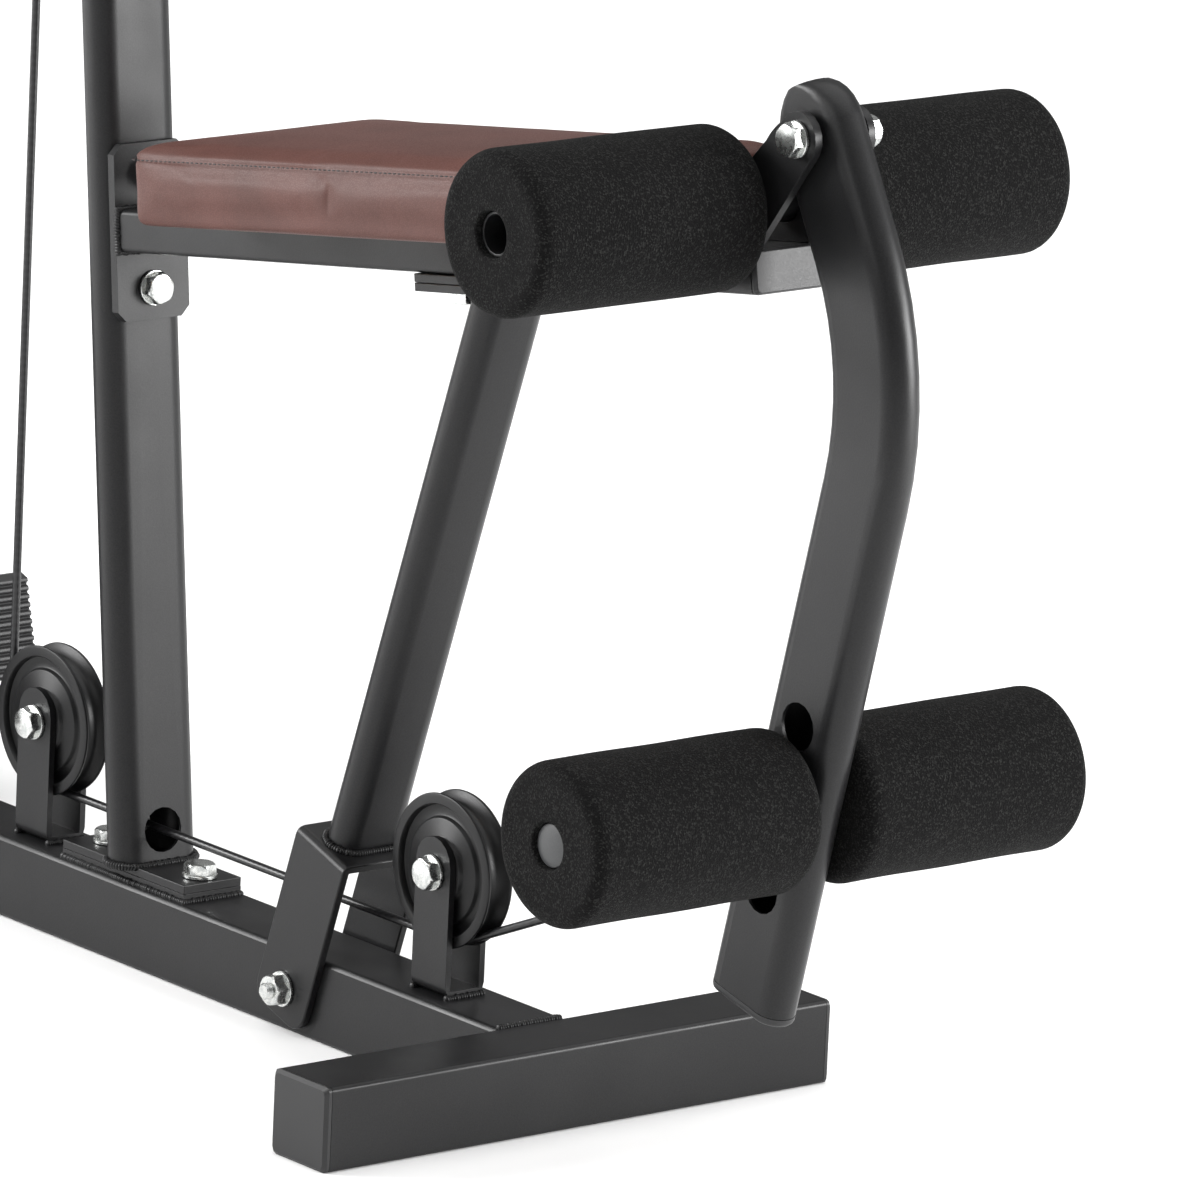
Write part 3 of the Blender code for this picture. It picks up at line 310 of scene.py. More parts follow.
def cableJacket():
    """nylon jacket over steel wire rope: black and smooth, with the rope's lay showing through"""
    material, tree, shader, where = newMaterial("nylon_cable_jacket")
    lay = addNode(tree, "ShaderNodeTexWave", {"bands_direction": "DIAGONAL"}, Vector=where, Scale=130,
                  Distortion=0.4).outputs["Fac"]
    black = ramp(tree, lay, 0.2, 0.9, toLinear("#0e0e0f"), toLinear("#1c1c1e"))
    tree.links.new(black, shader.inputs["Base Color"])
    shader.inputs["Roughness"].default_value = 0.36
    bump(tree, shader, lay, 0.25, 0.15)
    return material


def castIron():
    """hammer enamel on cast iron plates: dark, dimpled, slightly glossy"""
    material, tree, shader, where = newMaterial("enamelled_cast_iron")
    dimples = addNode(tree, "ShaderNodeTexVoronoi", None, Vector=where, Scale=1000 / 3.5).outputs["Distance"]
    tree.links.new(ramp(tree, grain(tree, where, 12, 3), 0.3, 0.7, toLinear("#232425"), toLinear("#303132")),
                   shader.inputs["Base Color"])
    shader.inputs["Roughness"].default_value = 0.46
    bump(tree, shader, dimples, 0.35, 0.3)
    return material


def plyBoard():
    """raw plywood: rotary-cut birch face with grain lines about 3 mm apart"""
    material, tree, shader, where = newMaterial("birch_plywood")
    along = addNode(tree, "ShaderNodeMapping", None, Vector=where, Scale=(1, 0.08, 1)).outputs[0]
    lines = grain(tree, along, 3.0, 4, 0.6)
    birch = ramp(tree, lines, 0.3, 0.7, toLinear("#9a7650"), toLinear("#c7a577"))
    tree.links.new(birch, shader.inputs["Base Color"])
    shader.inputs["Roughness"].default_value = 0.72
    bump(tree, shader, lines, 0.3, 0.2)
    return material


coatLook = {"dark": "#101011", "light": "#1e1e1f", "peelMm": 0.9, "driftMm": 60, "roughness": (0.34, 0.44),
            "specular": 0.32}
# the foam's light grey is painted glint on its cells
foamLook = {"cellMm": 0.9, "crumbMm": 0.5, "dark": "#040404", "mid": "#090909", "light": "#272726"}
# the vinyl's crease colour is painted shade in the grain's creases
vinylLook = {"dark": "#4f2f28", "light": "#5a3730", "creaseShade": "#2e1a16", "grainMm": 1.3}
coat, zinc, chrome, foam, vinyl = powderCoat(), zincPlate(), chromePlate(), foamRubber(), vinylCover()
thread, jacket, iron, ply = sewingThread(), cableJacket(), castIron(), plyBoard()
capPlastic = mouldedPlastic("moulded_black_plastic", "#141415", "#222223", 0.46, 0.7)
pulleyNylon = mouldedPlastic("moulded_grey_nylon", "#0a0a0b", "#151516", 0.40, 0.8, 0.3)
plugPlastic = mouldedPlastic("moulded_grey_plug", "#303132", "#3d3e3f", 0.42, 0.7)
bySlot = {"powder_coat": coat, "zinc_plate": zinc, "chrome_plate": chrome, "foam": foam, "upholstery": vinyl,
          "cable_jacket": jacket, "cast_weight": iron, "plywood": ply, "black_plastic": capPlastic,
          "pulley_nylon": pulleyNylon}
print("materials made")


# ---------- camera and light ----------

cameraLook = {"azimuth": -39.19, "elevation": 13.82, "roll": 2.624, "distance": 7.0, "lensMm": 355.91,
              "target": (0.2005, 0.25, 0.2307)}


def makeCamera():
    side, up = radians(cameraLook["azimuth"]), radians(cameraLook["elevation"])
    lookAt = Vector(cameraLook["target"]) + Vector((0, frontFace, 0))
    ahead = Vector((-sin(side) * cos(up), cos(side) * cos(up), -sin(up)))
    right = Vector((cos(side), sin(side), 0))
    top = right.cross(ahead)
    roll = radians(cameraLook["roll"])
    rolledRight = right * cos(roll) + top * sin(roll)
    rolledTop = top * cos(roll) - right * sin(roll)
    camera = bpy.data.objects.new("camera", bpy.data.cameras.new("camera"))
    scene.collection.objects.link(camera)
    camera.data.sensor_width = 36
    camera.data.lens = cameraLook["lensMm"]
    camera.data.clip_end = 200
    basis = Matrix((rolledRight, rolledTop, -ahead)).transposed()
    camera.matrix_world = Matrix.Translation(lookAt - ahead * cameraLook["distance"]) @ basis.to_4x4()
    scene.camera = camera


lights = {  # place from the middle of the machine in metres, width, height, watts
    "softbox_rear_left": ((-3.4, 3.6, 1.9), 2.6, 2.2, 330),
    "softbox_left": ((-3.9, -0.4, 2.2), 1.6, 1.6, 25),
    "softbox_front_right": ((1.75, -2.2, 0.55), 1.3, 0.9, 90),
}
ambient = 0.25          # brightness of the room around the machine
ceiling = {"watts": 2.3, "spread": 80, "lean": (0.06, 0.10)}


def makeLights():
    middle = Vector((0, frontFace + 0.25, 0.3))
    for name, (offset, width, height, power) in lights.items():
        light = bpy.data.objects.new(name, bpy.data.lights.new(name, "AREA"))
        light.data.shape = "RECTANGLE"
        light.data.size, light.data.size_y, light.data.energy = width, height, power
        light.location = middle + Vector(offset)
        light.visible_camera = False
        light.rotation_euler = (-Vector(offset)).to_track_quat("-Z", "Y").to_euler()
        scene.collection.objects.link(light)
    above = bpy.data.objects.new("ceiling", bpy.data.lights.new("ceiling", "SUN"))
    above.data.energy, above.data.angle = ceiling["watts"], radians(ceiling["spread"])
    above.rotation_euler = (*ceiling["lean"], 0)
    scene.collection.objects.link(above)
    world = bpy.data.worlds.new("studio")
    world.use_nodes = True
    tree = world.node_tree
    glow = tree.nodes["Background"]
    glow.inputs["Color"].default_value = (1, 1, 1, 1)
    glow.inputs["Strength"].default_value = ambient
    seen = addNode(tree, "ShaderNodeBackground", None, Color=(1, 1, 1, 1), Strength=1.0)     # white backdrop
    ray = addNode(tree, "ShaderNodeLightPath").outputs["Is Camera Ray"]
    both = addNode(tree, "ShaderNodeMixShader", None, i0=ray, i1=glow.outputs[0], i2=seen.outputs[0])
    tree.links.new(both.outputs[0], tree.nodes["World Output"].inputs["Surface"])
    scene.world = world
    scene.view_settings.view_transform = "Standard"


def makeFloor():
    half = 40.0
    mesh = bpy.data.meshes.new("floor")
    corners = [(-half, -half, 0), (half, -half, 0), (half, half, 0), (-half, half, 0)]
    mesh.from_pydata(corners, [], [(0, 1, 2, 3)])
    material, tree, shader, where = newMaterial("matte_white_floor")
    tree.links.new(ramp(tree, grain(tree, where, 900, 2), 0.3, 0.7, toLinear("#fafafa"), toLinear("#ffffff")),
                   shader.inputs["Base Color"])
    shader.inputs["Roughness"].default_value = 0.95
    shader.inputs["Specular IOR Level"].default_value = 0.1
    floor = place("floor", mesh, material, 0)


makeCamera()
makeLights()
makeFloor()
print("camera, light and floor made")


# ---------- steel pieces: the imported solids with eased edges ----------

easedEdges = {  # edge radius in millimetres
    "front_crossbar": 0.0, "rear_crossbar": 0.0, "base_beam": 0.0, "top_beam": 0.0, "rear_column": 0.0,
    "upright": 0.5, "support_post": 0.5, "lower_roller_tube": 0.4, "upper_roller_tube": 0.4,
    "foot_plate_tube": 0.4, "seat_frame_tube": 0.0, "beam_pad_plate": 0.7, "upright_foot_plate": 0.7,
    "seat_flange": 0.8,
    "post_top_plate": 0.7, "seat_mount_plate": 0.7, "post_bracket": 0.9, "pivot_cheek_left": 0.8,
    "pivot_cheek_right": 0.8, "front_pulley_bracket": 0.8, "rear_pulley_bracket": 0.8,
    "top_front_pulley_bracket": 0.8, "top_rear_pulley_bracket": 0.8, "stack_base_plate": 1.0,
    "front_cap_left": 0.0, "front_cap_right": 0.0, "rear_cap_left": 0.0, "rear_cap_right": 0.0,
    "seat_frame_plug": 0.5, "resting_weights": 0.0, "lifted_weights": 0.0, "guide_rods": 0.0,
    "seat_board": 0.5,
    "foot_plate_left": 0.6, "foot_plate_right": 0.6, "lever": 0.5, "selector_pin": 0.8,
}


def easePiece(node, radiusMm):
    piece = place(node + "_piece", mergedCopy(node), bySlot[slotOf(node)], 38)
    if radiusMm:
        bevel = piece.modifiers.new("edge", "BEVEL")
        bevel.width, bevel.segments, bevel.limit_method = radiusMm / 1000, 3, "ANGLE"
        bevel.angle_limit, bevel.use_clamp_overlap, bevel.harden_normals = radians(40), True, True
    even = piece.modifiers.new("even", "WEIGHTED_NORMAL")     # flat faces stay flat next to rounded edges
    even.keep_sharp = True
    bake(piece)
    return settle(piece, bodyOf(node), slotOf(node), node)


for node, radiusMm in easedEdges.items():
    easePiece(node, radiusMm)
print("steel pieces eased:", len(easedEdges))


# ---------- fasteners ----------

boltSize = {"hexFlats": 0.017, "hexHeight": 0.0064, "washerRadius": 0.0105, "washer": 0.002, "shank": 0.005,
            "nut": 0.008, "pitch": 0.0015, "threadDepth": 0.0006, "chamfer": 0.0016, "steps": 48}


def hexRadius(angle, flats):
    return flats / 2 / cos((angle % (pi / 3)) - pi / 6)


def boltSection(height, radius, hexed=0.0):
    """one ring of a bolt; where hexed is set the ring is the hexagon held inside the radius"""
    ring = []
    for i in range(boltSize["steps"]):
        angle = tau * i / boltSize["steps"]
        r = min(hexRadius(angle, hexed), radius) if hexed else radius
        ring.append(Vector((r * cos(angle), r * sin(angle), height)))
    return ring


def hexStack(low, height, chamferTop=True, chamferLow=False):
    """rings of a hexagon with coned corners, from high to low"""
    flats, chamfer = boltSize["hexFlats"], boltSize["chamfer"]
    corner, flat = flats / 2 / cos(pi / 6), flats / 2
    top = low + height
    rings = []
    cone = [(chamfer * k / 4, flat + (corner - flat) * (k / 4) ** 0.8) for k in (1, 2, 3, 4)]
    if chamferTop:
        rings += [boltSection(top, flat - 0.0004, flats), boltSection(top - 0.0002, flat, flats)]
        rings += [boltSection(top - drop, radius, flats) for drop, radius in cone]
    else:
        rings.append(boltSection(top, corner, flats))
    if chamferLow:
        rings += [boltSection(low + drop, radius, flats) for drop, radius in reversed(cone)]
        rings.append(boltSection(low, flat, flats))
    else:
        rings.append(boltSection(low, corner, flats))
    return rings


def washerStack(low):
    radius, thick = boltSize["washerRadius"], boltSize["washer"]
    return [boltSection(low + thick, radius - 0.0003), boltSection(low + thick - 0.0003, radius),
            boltSection(low + 0.0003, radius), boltSection(low, radius - 0.0003)]


def makeBolt(node, axis, tilt=0.0, nut=True):
    """axis points out of the head; the ends come from the node's own box"""
    direction = Matrix.Rotation(tilt, 3, "X") @ Vector(axis)
    points = [v.co for v in frame["nodes"][node].data.vertices]
    low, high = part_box(node)
    centre = (low + high) / 2
    along = [(p - centre).dot(direction) for p in points]
    top, bottom = max(along), min(along)
    under = top - boltSize["hexHeight"]
    shank = boltSize["shank"]
    rings = hexStack(under, boltSize["hexHeight"]) + washerStack(under - boltSize["washer"])
    rings.append(boltSection(under - boltSize["washer"], shank))
    if nut:
        threadEnd = 0.004
        nutLow = bottom + threadEnd
        nutTop = nutLow + boltSize["nut"]
        rings.append(boltSection(nutTop + boltSize["washer"], shank))
        rings += washerStack(nutTop)
        rings += hexStack(nutLow, boltSize["nut"], False, True)
        crests = int(threadEnd / boltSize["pitch"] * 4)
        for k in range(crests + 1):
            depth = boltSize["threadDepth"] * (0.5 - 0.5 * cos(tau * k / 4))
            rings.append(boltSection(nutLow - 0.0004 - (threadEnd - 0.0008) * k / crests, shank - depth))
        rings.append(boltSection(bottom, shank - 0.001))
    else:
        rings.append(boltSection(bottom, shank))
    turn = Vector((0, 0, 1)).rotation_difference(direction).to_matrix()
    spin = Matrix.Rotation(radians(17), 3, "Z")
    rings = [[centre + turn @ (spin @ p) for p in ring] for ring in rings]
    piece = place(node + "_piece", meshOf(node, rings), zinc, 28)
    return settle(piece, bodyOf(node), "zinc_plate", node)


seatSlope, uprightLean = 0.1546, 0.109                  # rise per metre forward, metres rearward per metre up
seatTilt, uprightTilt = -atan(seatSlope), -atan(uprightLean)     # about X
for node, axis, tilt, nut in (
        ("front_pulley_axle", (-1, 0, 0), 0, True), ("rear_pulley_axle", (-1, 0, 0), 0, True),
        ("top_front_pulley_axle", (-1, 0, 0), 0, True), ("top_rear_pulley_axle", (-1, 0, 0), 0, True),
        ("pivot_bolt", (-1, 0, 0), 0, True), ("post_bracket_bolt", (1, 0, 0), 0, True),
        ("flange_bolt_lower", (0, -1, 0), uprightTilt, True),
        ("flange_bolt_upper", (0, -1, 0), uprightTilt, True),
        ("post_top_bolt", (0, 0, -1), seatTilt, False),
        ("foot_bolt_front", (0, 0, 1), 0, False), ("foot_bolt_rear", (0, 0, 1), 0, False)):
    makeBolt(node, axis, tilt, nut)
print("fasteners made")


# ---------- pulleys ----------

pulleyLook = {"steps": 96, "lip": 0.0012, "floor": 0.0045, "ring": 0.0072, "boss": 0.0190, "bearing": 0.0085}


def pulleyProfile(half, radius, hubHalf, bore, grooveRadius):
    """one side of the sheave from the bore out to the groove, then mirrored"""
    lip, floor, step, boss = (pulleyLook[key] for key in ("lip", "floor", "ring", "boss"))
    rimInner = grooveRadius
    side = [(hubHalf - 0.0002, bore), (hubHalf, bore + 0.0004), (hubHalf, boss - 0.0008),
            (hubHalf - 0.0006, boss), (step + 0.0004, boss + 0.0005), (step, boss + 0.0010),
            (step, 0.0302), (step - 0.0005, 0.0308), (floor + 0.0005, 0.0314), (floor, 0.0320),
            (floor, rimInner - 0.0012), (floor + 0.0006, rimInner - 0.0004), (half - 0.0006, rimInner),
            (half, rimInner + 0.0006), (half, radius - lip), (half - lip * 0.3, radius - lip * 0.3),
            (half - lip, radius), (half - 1.8 * lip, radius - 0.0004), (half - 2.5 * lip, radius - 0.0022),
            (0.0040, grooveRadius + 0.0012), (0.0026, grooveRadius + 0.0003), (0.0012, grooveRadius)]
    return side + [(-x, r) for x, r in reversed(side)]


def makePulley(node):
    low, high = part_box(node)
    centre, half = (low + high) / 2, 0.0090
    profile = pulleyProfile(half, (high.z - low.z) / 2, (high.x - low.x) / 2, 0.0054, 0.0387)
    rings = [[centre + p for p in ring] for ring in turned(profile, pulleyLook["steps"])]
    piece = place(node + "_piece", meshOf(node, rings, closed=True), pulleyNylon, 40)
    settle(piece, bodyOf(node), "pulley_nylon", node)
    for side, word in ((-1, "left"), (1, "right")):
        face = side * ((high.x - low.x) / 2 - 0.0007)
        ring = [(face, 0.0058), (face, pulleyLook["bearing"]), (face - side * 0.003, pulleyLook["bearing"]),
                (face - side * 0.003, 0.0058)]
        rings = [[centre + p for p in r] for r in turned(ring, 64)]
        race = place(f"{node}_bearing_{word}", meshOf("race", rings, closed=True), zinc, 30)
        settle(race, bodyOf(node), "zinc_plate")


for node in ("front_pulley", "rear_pulley", "top_front_pulley", "top_rear_pulley"):
    makePulley(node)
print("pulleys made")


# ---------- foam rollers ----------

rollerLook = {"edge": 0.009, "steps": 128, "rings": 90, "swell": 0.0004}


def rollerProfile(low, high, bore, radius):
    """from the bore round one rim, along, and round the other rim back to the bore"""
    edge = rollerLook["edge"]
    lead = [(0.0012, bore), (0.0003, bore + 0.0006), (0, bore + 0.0016)]
    face = radius - edge - bore - 0.0016
    lead += [(0.0004 * sin(pi * k / 6), bore + 0.0016 + face * k / 6) for k in range(1, 7)]
    rim = [pi / 2 * k / 8 for k in range(1, 9)]
    lead += [(edge * (1 - cos(angle)), radius - edge * (1 - sin(angle))) for angle in rim]
    middle = [(low + edge + (high - low - 2 * edge) * k / rollerLook["rings"], radius)
              for k in range(1, rollerLook["rings"])]
    return [(low + x, r) for x, r in lead] + middle + [(high - x, r) for x, r in reversed(lead)]


def makeRoller(node, seed):
    """foam sleeve whose skin wanders a little, as cut and buffed foam does"""
    low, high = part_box(node)
    centre = Vector((0, (low.y + high.y) / 2, (low.z + high.z) / 2))
    radius = (high.z - low.z) / 2
    profile = rollerProfile(low.x, high.x, 0.0131, radius - rollerLook["swell"])
    rings = turned(profile, rollerLook["steps"])
    chance = np.random.default_rng(seed)
    waves = [(chance.integers(2, 6), chance.uniform(20, 90), chance.uniform(0, tau)) for _ in range(6)]
    for ring in rings:
        for p in ring:
            r = (p.y ** 2 + p.z ** 2) ** 0.5
            if r > 0.020:
                angle = atan2(p.z, p.y)
                wander = sum(sin(n * angle + k * p.x + phase) for n, k, phase in waves) / 6
                push = rollerLook["swell"] * wander * min((r - 0.020) / 0.02, 1)
                p.y, p.z = p.y * (1 + push / r), p.z * (1 + push / r)
    rings = [[centre + p for p in ring] for ring in rings]
    piece = place(node + "_piece", meshOf(node, rings, closed=True), foam, 60)
    settle(piece, bodyOf(node), "foam", node)


for seed, node in ((11, "upper_roller_left"), (12, "upper_roller_right"), (13, "lower_roller_left"),
                   (14, "lower_roller_right")):
    makeRoller(node, seed)


def makeTubePlug(name, side):
    """domed grey plug in the end of the lower roller tube"""
    low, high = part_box("lower_roller_tube")
    centre = Vector((0, (low.y + high.y) / 2, (low.z + high.z) / 2))
    end = high.x if side > 0 else low.x
    profile = [(-0.012, 0.0002), (-0.012, 0.0102), (0.0003, 0.0106), (0.0003, 0.0124)]
    profile += [(0.0003 + 0.0008 * k / 3, 0.0124 - 0.0004 * k / 3) for k in (1, 2, 3)]
    profile += [(0.0011 + 0.0016 * (1 - (r / 0.012) ** 2), r) for r in (0.0105, 0.009, 0.0065, 0.0035, 0.0002)]
    rings = [[centre + p for p in ring] for ring in turned([(end + side * x, r) for x, r in profile], 64)]
    piece = place(name, meshOf(name, rings), plugPlastic, 40)
    settle(piece, "lever", "black_plastic")


makeTubePlug("tube_plug_left", -1)
makeTubePlug("tube_plug_right", 1)
print("rollers made")


# ---------- seat cushion ----------

cushionSize = {"rearWidth": 0.186, "frontWidth": 0.170, "corner": 0.012, "edge": 0.006, "side": 0.0445,
               "voxel": 0.0038, "pressure": 4.0, "cap": 0.0022, "seamDrop": 0.0058, "seamDepth": 0.0011,
               "seamHalf": 0.0014, "hem": 0.014}


def cushionPlan(length, inset, corner, steps=8):
    """outline of the cushion from its rear edge at 0 forward, narrower at the front"""
    rear, fore = cushionSize["rearWidth"] / 2 - inset, cushionSize["frontWidth"] / 2 - inset
    corner = max(corner - inset * 0.5, 0.004)
    plan = []
    for x, y, turn in ((rear, -inset, 0), (-rear, -inset, 1), (-fore, inset - length, 2),
                       (fore, inset - length, 3)):
        inward = Vector((-corner if turn in (0, 3) else corner, -corner if turn in (0, 1) else corner))
        centre = Vector((x, y)) + inward
        plan += [centre + corner * Vector((cos(a), sin(a))) for a in
                 [(turn + k / steps) * pi / 2 for k in range(steps + 1)]]
    return plan


def simulateCushion(piece, cap, floor):
    """inflates the cover a little, with every point within cap of where it was and the stapled hem still"""
    before = np.array([v.co for v in piece.data.vertices])
    cloth = piece.modifiers.new("cover", "CLOTH")
    cloth.settings.use_pressure = True
    cloth.settings.uniform_pressure_force = cushionSize["pressure"]
    cloth.settings.effector_weights.gravity = 0
    cloth.settings.quality = 5
    for number in range(1, 15):
        scene.frame_set(number)
    bake(piece)
    scene.frame_set(1)
    after = np.array([v.co for v in piece.data.vertices])
    move = after - before
    size = np.linalg.norm(move, axis=1, keepdims=True)
    free = np.clip((before[:, 2:] - floor) / cushionSize["hem"] - 0.2, 0, 1)
    moved = before + move * np.minimum(1, cap / np.maximum(size, 1e-9)) * free
    piece.data.vertices.foreach_set("co", moved.astype(np.float32).ravel())


def makeCushion():
    low, high = localBox("seat_cushion", seatTilt)
    length, floor, rear = high.y - low.y, low.z + 0.0002, high.y
    edge, side, crown = cushionSize["edge"], cushionSize["side"], high.z - low.z - cushionSize["side"]
    shrink = 0.0018
    levels = [(0.0, 0.004), (0.001, 0.0015), (0.004, 0.0004)] + [(0.004 + (side - edge - 0.004) * k / 6, 0.0)
                                                                for k in range(1, 7)]
    rim = [pi / 2 * k / 4 for k in range(1, 5)]
    levels += [(side - edge * (1 - sin(angle)), edge * (1 - cos(angle))) for angle in rim]
    levels += [(side + (crown - shrink) * sin(pi / 2 * k / 5), edge + 0.060 * k / 5) for k in range(1, 6)]
    rings = []
    for z, inset in levels:
        plan = cushionPlan(length, inset + shrink, cushionSize["corner"])
        rings.append([Vector((p.x, rear + p.y, floor + z)) for p in plan])
    piece = place("seat_cover", meshOf("seat_cover", rings), vinyl, 0)
    remesh = piece.modifiers.new("remesh", "REMESH")
    remesh.mode, remesh.voxel_size = "VOXEL", cushionSize["voxel"]
    bake(piece)
    simulateCushion(piece, cushionSize["cap"], floor)
    finer = piece.modifiers.new("finer", "SUBSURF")
    finer.levels = finer.render_levels = 1
    bake(piece)
    pressFlat(piece, floor)
    sinkSeam(piece, floor + side - cushionSize["seamDrop"])
    turn = Matrix.Rotation(seatTilt, 4, "X")
    piece.data.transform(turn)
    piece.data.shade_smooth()
    piece.data.materials.clear()
    piece.data.materials.append(vinyl)
    settle(piece, "frame", "upholstery", "seat_cushion")
    makeStitches(length, rear, floor + side - cushionSize["seamDrop"], turn)
    return piece


def pressFlat(piece, floor):
    """keeps the bottom on the seat frame"""
    for vertex in piece.data.vertices:
        vertex.co.z = max(vertex.co.z, floor)


def sinkSeam(piece, seamZ):
    """a sewn groove round the side of the cover"""
    normals = [v.normal.copy() for v in piece.data.vertices]
    for vertex, normal in zip(piece.data.vertices, normals):
        away = abs(vertex.co.z - seamZ) / cushionSize["seamHalf"]
        if away < 3 and abs(normal.z) < 0.75:
            push = cushionSize["seamDepth"] * 2.718 ** (-away * away)
            vertex.co -= Vector((normal.x, normal.y, 0)).normalized() * push


def stringTree():
    """Geometry Nodes: the same small bead set again and again along a curve, turned to follow it"""
    tree = bpy.data.node_groups.new("beads_along_curve", "GeometryNodeTree")
    tree.interface.new_socket("Geometry", in_out="INPUT", socket_type="NodeSocketGeometry")
    for name, kind in (("Spacing", "NodeSocketFloat"), ("Radius", "NodeSocketFloat"),
                       ("Stretch", "NodeSocketVector"), ("Wander", "NodeSocketFloat"),
                       ("Finish", "NodeSocketMaterial")):
        tree.interface.new_socket(name, in_out="INPUT", socket_type=kind)
    tree.interface.new_socket("Geometry", in_out="OUTPUT", socket_type="NodeSocketGeometry")
    given = tree.nodes.new("NodeGroupInput").outputs
    points = addNode(tree, "GeometryNodeCurveToPoints", {"mode": "LENGTH"}, Curve=given["Geometry"],
                     Length=given["Spacing"])
    bead = addNode(tree, "GeometryNodeMeshIcoSphere", None, Radius=given["Radius"], Subdivisions=2)
    chance = addNode(tree, "FunctionNodeRandomValue", {"data_type": "FLOAT"}, Min=0.0, Max=1.0, Seed=7)
    size = addNode(tree, "ShaderNodeMath", {"operation": "MULTIPLY_ADD"}, i0=chance.outputs["Value"],
                   i1=given["Wander"], i2=1.0)
    scaled = addNode(tree, "ShaderNodeVectorMath", {"operation": "SCALE"}, i0=given["Stretch"],
                     Scale=size.outputs[0])
    laid = addNode(tree, "GeometryNodeInstanceOnPoints", None, Points=points.outputs["Points"],
                   Instance=bead.outputs["Mesh"], Rotation=points.outputs["Rotation"], Scale=scaled.outputs[0])
    real = addNode(tree, "GeometryNodeRealizeInstances", None, Geometry=laid.outputs[0])
    smooth = addNode(tree, "GeometryNodeSetShadeSmooth", None, Geometry=real.outputs[0])
    finished = addNode(tree, "GeometryNodeSetMaterial", None, Geometry=smooth.outputs[0],
                       Material=given["Finish"])
    addNode(tree, "NodeGroupOutput", None, Geometry=finished.outputs[0])
    return tree


beadTree = stringTree()


def beadsAlong(name, path, closed, spacing, radius, stretch, wander, material, body, slot):
    """beads along points, as a plain mesh that rides on a body"""
    curve = bpy.data.curves.new(name, "CURVE")
    curve.dimensions = "3D"
    spline = curve.splines.new("POLY")
    spline.points.add(len(path) - 1)
    for target, point in zip(spline.points, path):
        target.co = (*point, 1)
    spline.use_cyclic_u = closed
    carrier = bpy.data.objects.new(name + "_path", curve)
    scene.collection.objects.link(carrier)
    maker = carrier.modifiers.new("beads", "NODES")
    maker.node_group = beadTree
    values = {"Spacing": spacing, "Radius": radius, "Stretch": stretch, "Wander": wander, "Finish": material}
    for item in beadTree.interface.items_tree:
        if item.in_out == "INPUT" and item.name in values:
            maker[item.identifier] = values[item.name]
    graph = bpy.context.evaluated_depsgraph_get()
    mesh = bpy.data.meshes.new_from_object(carrier.evaluated_get(graph))
    bpy.data.objects.remove(carrier)
    piece = place(name, mesh, material, 0)
    mesh.shade_smooth()
    return settle(piece, body, slot)


stitchLook = {"spacing": 0.0042, "radius": 0.00042, "stretch": (1.0, 1.0, 3.6), "wander": 0.15}


def makeStitches(length, rear, seamZ, turn):
    plan = cushionPlan(length, 0.0016, cushionSize["corner"], 10)
    path = [turn @ Vector((p.x, rear + p.y, seamZ)) for p in plan]
    beadsAlong("seat_stitches", path, True, stitchLook["spacing"], stitchLook["radius"], stitchLook["stretch"],
               stitchLook["wander"], thread, "frame", "upholstery")


makeCushion()
print("seat cushion made")


# ---------- cables ----------

def tubeAlong(name, path, radius, material, steps=20):
    """a smooth round tube along points that lie in the plane x = 0"""
    rings, right = [], Vector((1, 0, 0))
    angles = [tau * k / steps for k in range(steps)]
    for i, point in enumerate(path):
        ahead = (path[min(i + 1, len(path) - 1)] - path[max(i - 1, 0)]).normalized()
        across = ahead.cross(right)
        rings.append([point + radius * (right * cos(angle) + across * sin(angle)) for angle in angles])
    return place(name, meshOf(name, rings), material, 60)


def wrap(centre, radius, start, end, steps=24):
    return [Vector((0, centre.y + radius * cos(start + (end - start) * k / steps),
                    centre.z + radius * sin(start + (end - start) * k / steps))) for k in range(steps + 1)]


def spread(start, end, count):
    return [start + (end - start) * k / count for k in range(1, count)]


cableSize = {"radius": 0.0025, "wrapRadius": 0.042}


def pulleyCentre(node):
    low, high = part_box(node)
    return (low + high) / 2


def makeCables():
    radius, bend = cableSize["radius"], cableSize["wrapRadius"]
    front, rear = pulleyCentre("front_pulley"), pulleyCentre("rear_pulley")
    topFront, topRear = pulleyCentre("top_front_pulley"), pulleyCentre("top_rear_pulley")
    tailLow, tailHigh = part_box("cable_tail")
    tabSide = Vector((0, tailLow.y + radius * 0.35, tailHigh.z - radius * 0.95))     # where it meets the tab
    reach = tabSide - front
    touch = atan2(reach.z, reach.y) + acos(bend / reach.length)
    legs = [wrap(front, bend, touch, 3 * pi / 2, 10), wrap(rear, bend, -pi / 2, 0),
            wrap(topFront, bend, pi, pi / 2), wrap(topRear, bend, pi / 2, 0)]
    path = list(legs[0])
    for leg in legs[1:]:
        path += spread(path[-1], leg[0], 8) + leg
    settle(tubeAlong("cable_run_piece", path, radius, jacket), "frame", "cable_jacket", "cable_run")
    dropLow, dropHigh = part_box("cable_drop")
    bottom, top = Vector((0, path[-1].y, dropLow.z)), Vector((0, path[-1].y, dropHigh.z))
    drop = tubeAlong("cable_drop_piece", [bottom] + spread(bottom, top, 30) + [top], radius, jacket)
    settle(drop, "frame", "cable_jacket", "cable_drop")
    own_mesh(drop)
    start = path[0]
    tail = tubeAlong("cable_tail_piece", [start] + spread(start, tabSide, 40) + [tabSide], radius, jacket)
    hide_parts("cable_tail")
    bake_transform(tail)
    return start, tabSide


makeCables()
print("cables made")


# ---------- welds ----------

weldLook = {"radius": 0.0021, "spacing": 0.0017, "flat": (1.0, 1.0, 0.55)}


tubeSize = {"post": (0.046, 0.024), "upright": (0.057, 0.0267), "uprightY": 0.408, "postFoot": 0.0980}
postLean = 0.3297       # metres forward per metre up


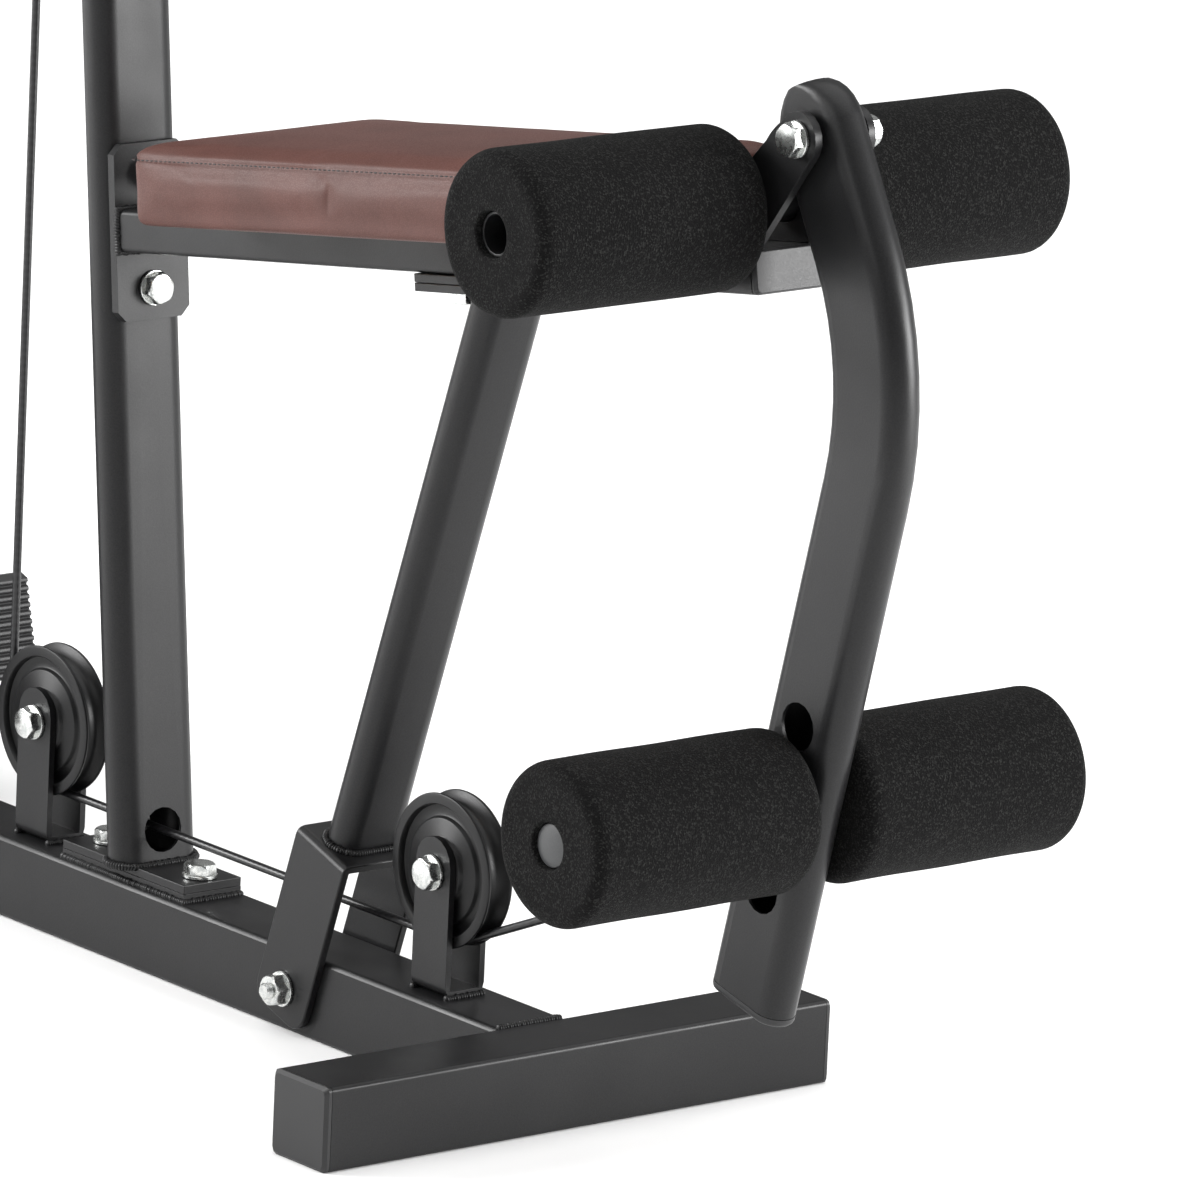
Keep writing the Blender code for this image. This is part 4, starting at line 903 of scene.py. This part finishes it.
def ovalPath(centre, width, depth, u, v, count=48):
    """points round a flat oval, u along its long way"""
    half, r = width / 2 - depth / 2, depth / 2
    path = []
    for i in range(count):
        angle = tau * i / count
        x = r * cos(angle) + (half if cos(angle) > 0 else -half)
        path.append(centre + u * x + v * (r * sin(angle)))
    return path


def weld(name, path, closed, body="frame"):
    beadsAlong(name, path, closed, weldLook["spacing"], weldLook["radius"], weldLook["flat"], 0.35, coat, body,
               "powder_coat")


def makeWelds():
    right, back = Vector((1, 0, 0)), Vector((0, 1, 0))
    beamLow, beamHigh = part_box("base_beam")
    gap, bead = 0.0004, 0.002
    for side, y in (("front", beamLow.y), ("rear", beamHigh.y)):
        path = [Vector((x, y, beamHigh.z - gap)) for x in np.linspace(-0.022, 0.022, 12)]
        weld(f"beam_weld_{side}", path, False)
        for x, word in ((beamLow.x, "left"), (beamHigh.x, "right")):
            path = [Vector((x, y, z)) for z in np.linspace(0.004, 0.046, 12)]
            weld(f"beam_weld_{side}_{word}", path, False)
    lean = atan(postLean)
    axis, square = Vector((0, -sin(lean), cos(lean))), Vector((0, cos(lean), sin(lean)))
    boltAt = (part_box("post_bracket_bolt")[0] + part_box("post_bracket_bolt")[1]) / 2
    foot = Vector((0, boltAt.y, boltAt.z)) + axis * tubeSize["postFoot"]
    width, depth = tubeSize["post"]
    weld("post_foot_weld", ovalPath(foot, width + bead, depth + bead, right, square), True)
    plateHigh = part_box("upright_foot_plate")[1]
    foot = Vector((0, frontFace + tubeSize["uprightY"] + uprightLean * plateHigh.z, plateHigh.z))
    width, depth = tubeSize["upright"]
    weld("upright_foot_weld", ovalPath(foot, width + bead, depth + bead, right, back), True)
    padLow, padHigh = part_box("beam_pad_plate")
    z = padLow.z
    corners = [(padLow.x, padLow.y), (padHigh.x, padLow.y), (padHigh.x, padHigh.y), (padLow.x, padHigh.y)]
    weld("beam_pad_weld", [Vector((x, y, z)) for x, y in corners], True)
    for name in ("front_pulley_bracket", "rear_pulley_bracket"):
        low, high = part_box(name)
        for y, word in ((low.y, "front"), (high.y, "rear")):
            weld(f"{name}_weld_{word}", [Vector((x, y, low.z)) for x in np.linspace(-0.013, 0.013, 8)], False)
    tubeRear = localBox("seat_frame_tube", seatTilt)
    turn = Matrix.Rotation(seatTilt, 3, "X")
    rear, low, high = tubeRear[1].y, tubeRear[0].z, tubeRear[1].z
    rearLow, rearHigh = rear, rear - 0.0014
    half = tubeRear[1].x
    corners = [(-half, rearLow, low), (half, rearLow, low), (half, rearHigh, high), (-half, rearHigh, high)]
    weld("flange_weld", [turn @ Vector(c) for c in corners], True)


makeWelds()
print("welds made")


# ---------- lever plug and spacers ----------

leverLook = {"lean": radians(13.6), "depth": 0.060, "width": 0.025, "wall": 0.0022, "spacerRadius": 0.0105,
             "spacerGap": 0.0003}


def makeLeverPlug():
    """black plug with a rounded face in the lever's open lower end"""
    heading = Vector((0, sin(leverLook["lean"]), -cos(leverLook["lean"])))
    across, right = Vector((0, -heading.z, heading.y)), Vector((1, 0, 0))
    points = [v.co for v in frame["nodes"]["lever"].data.vertices]
    reach = max(p.dot(heading) for p in points)
    rim = [p.dot(across) for p in points if p.dot(heading) > reach - 0.0002]
    centre = heading * reach + across * (min(rim) + max(rim)) / 2
    wall = leverLook["wall"]
    steps = [(-0.010, wall), (0.0003, wall), (0.0003, 0.0), (0.0028, 0.0), (0.0040, 0.0004), (0.0048, 0.0012),
             (0.0053, 0.0024), (0.0056, 0.0045), (0.0057, 0.0080)]
    rings = [ovalPath(centre + heading * along, leverLook["depth"] - 2 * inset, leverLook["width"] - 2 * inset,
                      across, right) for along, inset in steps]
    piece = place("lever_end_plug", meshOf("lever_end_plug", rings), capPlastic, 35)
    settle(piece, "lever", "black_plastic")


def makeSpacers():
    """nylon rings on the pivot bolt that keep the lever off its cheeks"""
    low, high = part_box("pivot_bolt")
    centre = Vector((0, (low.y + high.y) / 2, (low.z + high.z) / 2))
    gap = leverLook["spacerGap"]
    inner, outer = leverLook["width"] / 2 + gap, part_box("pivot_cheek_right")[0].x - gap
    bore, radius = boltSize["shank"] + gap, leverLook["spacerRadius"]
    for side, word in ((-1, "left"), (1, "right")):
        ring = [(side * inner, bore), (side * inner, radius), (side * outer, radius), (side * outer, bore)]
        rings = [[centre + p for p in r] for r in turned(ring, 48)]
        piece = place(f"pivot_spacer_{word}", meshOf("spacer", rings, closed=True), capPlastic, 30)
        settle(piece, "frame", "black_plastic")


makeLeverPlug()
makeSpacers()
print("lever plug and spacers made")
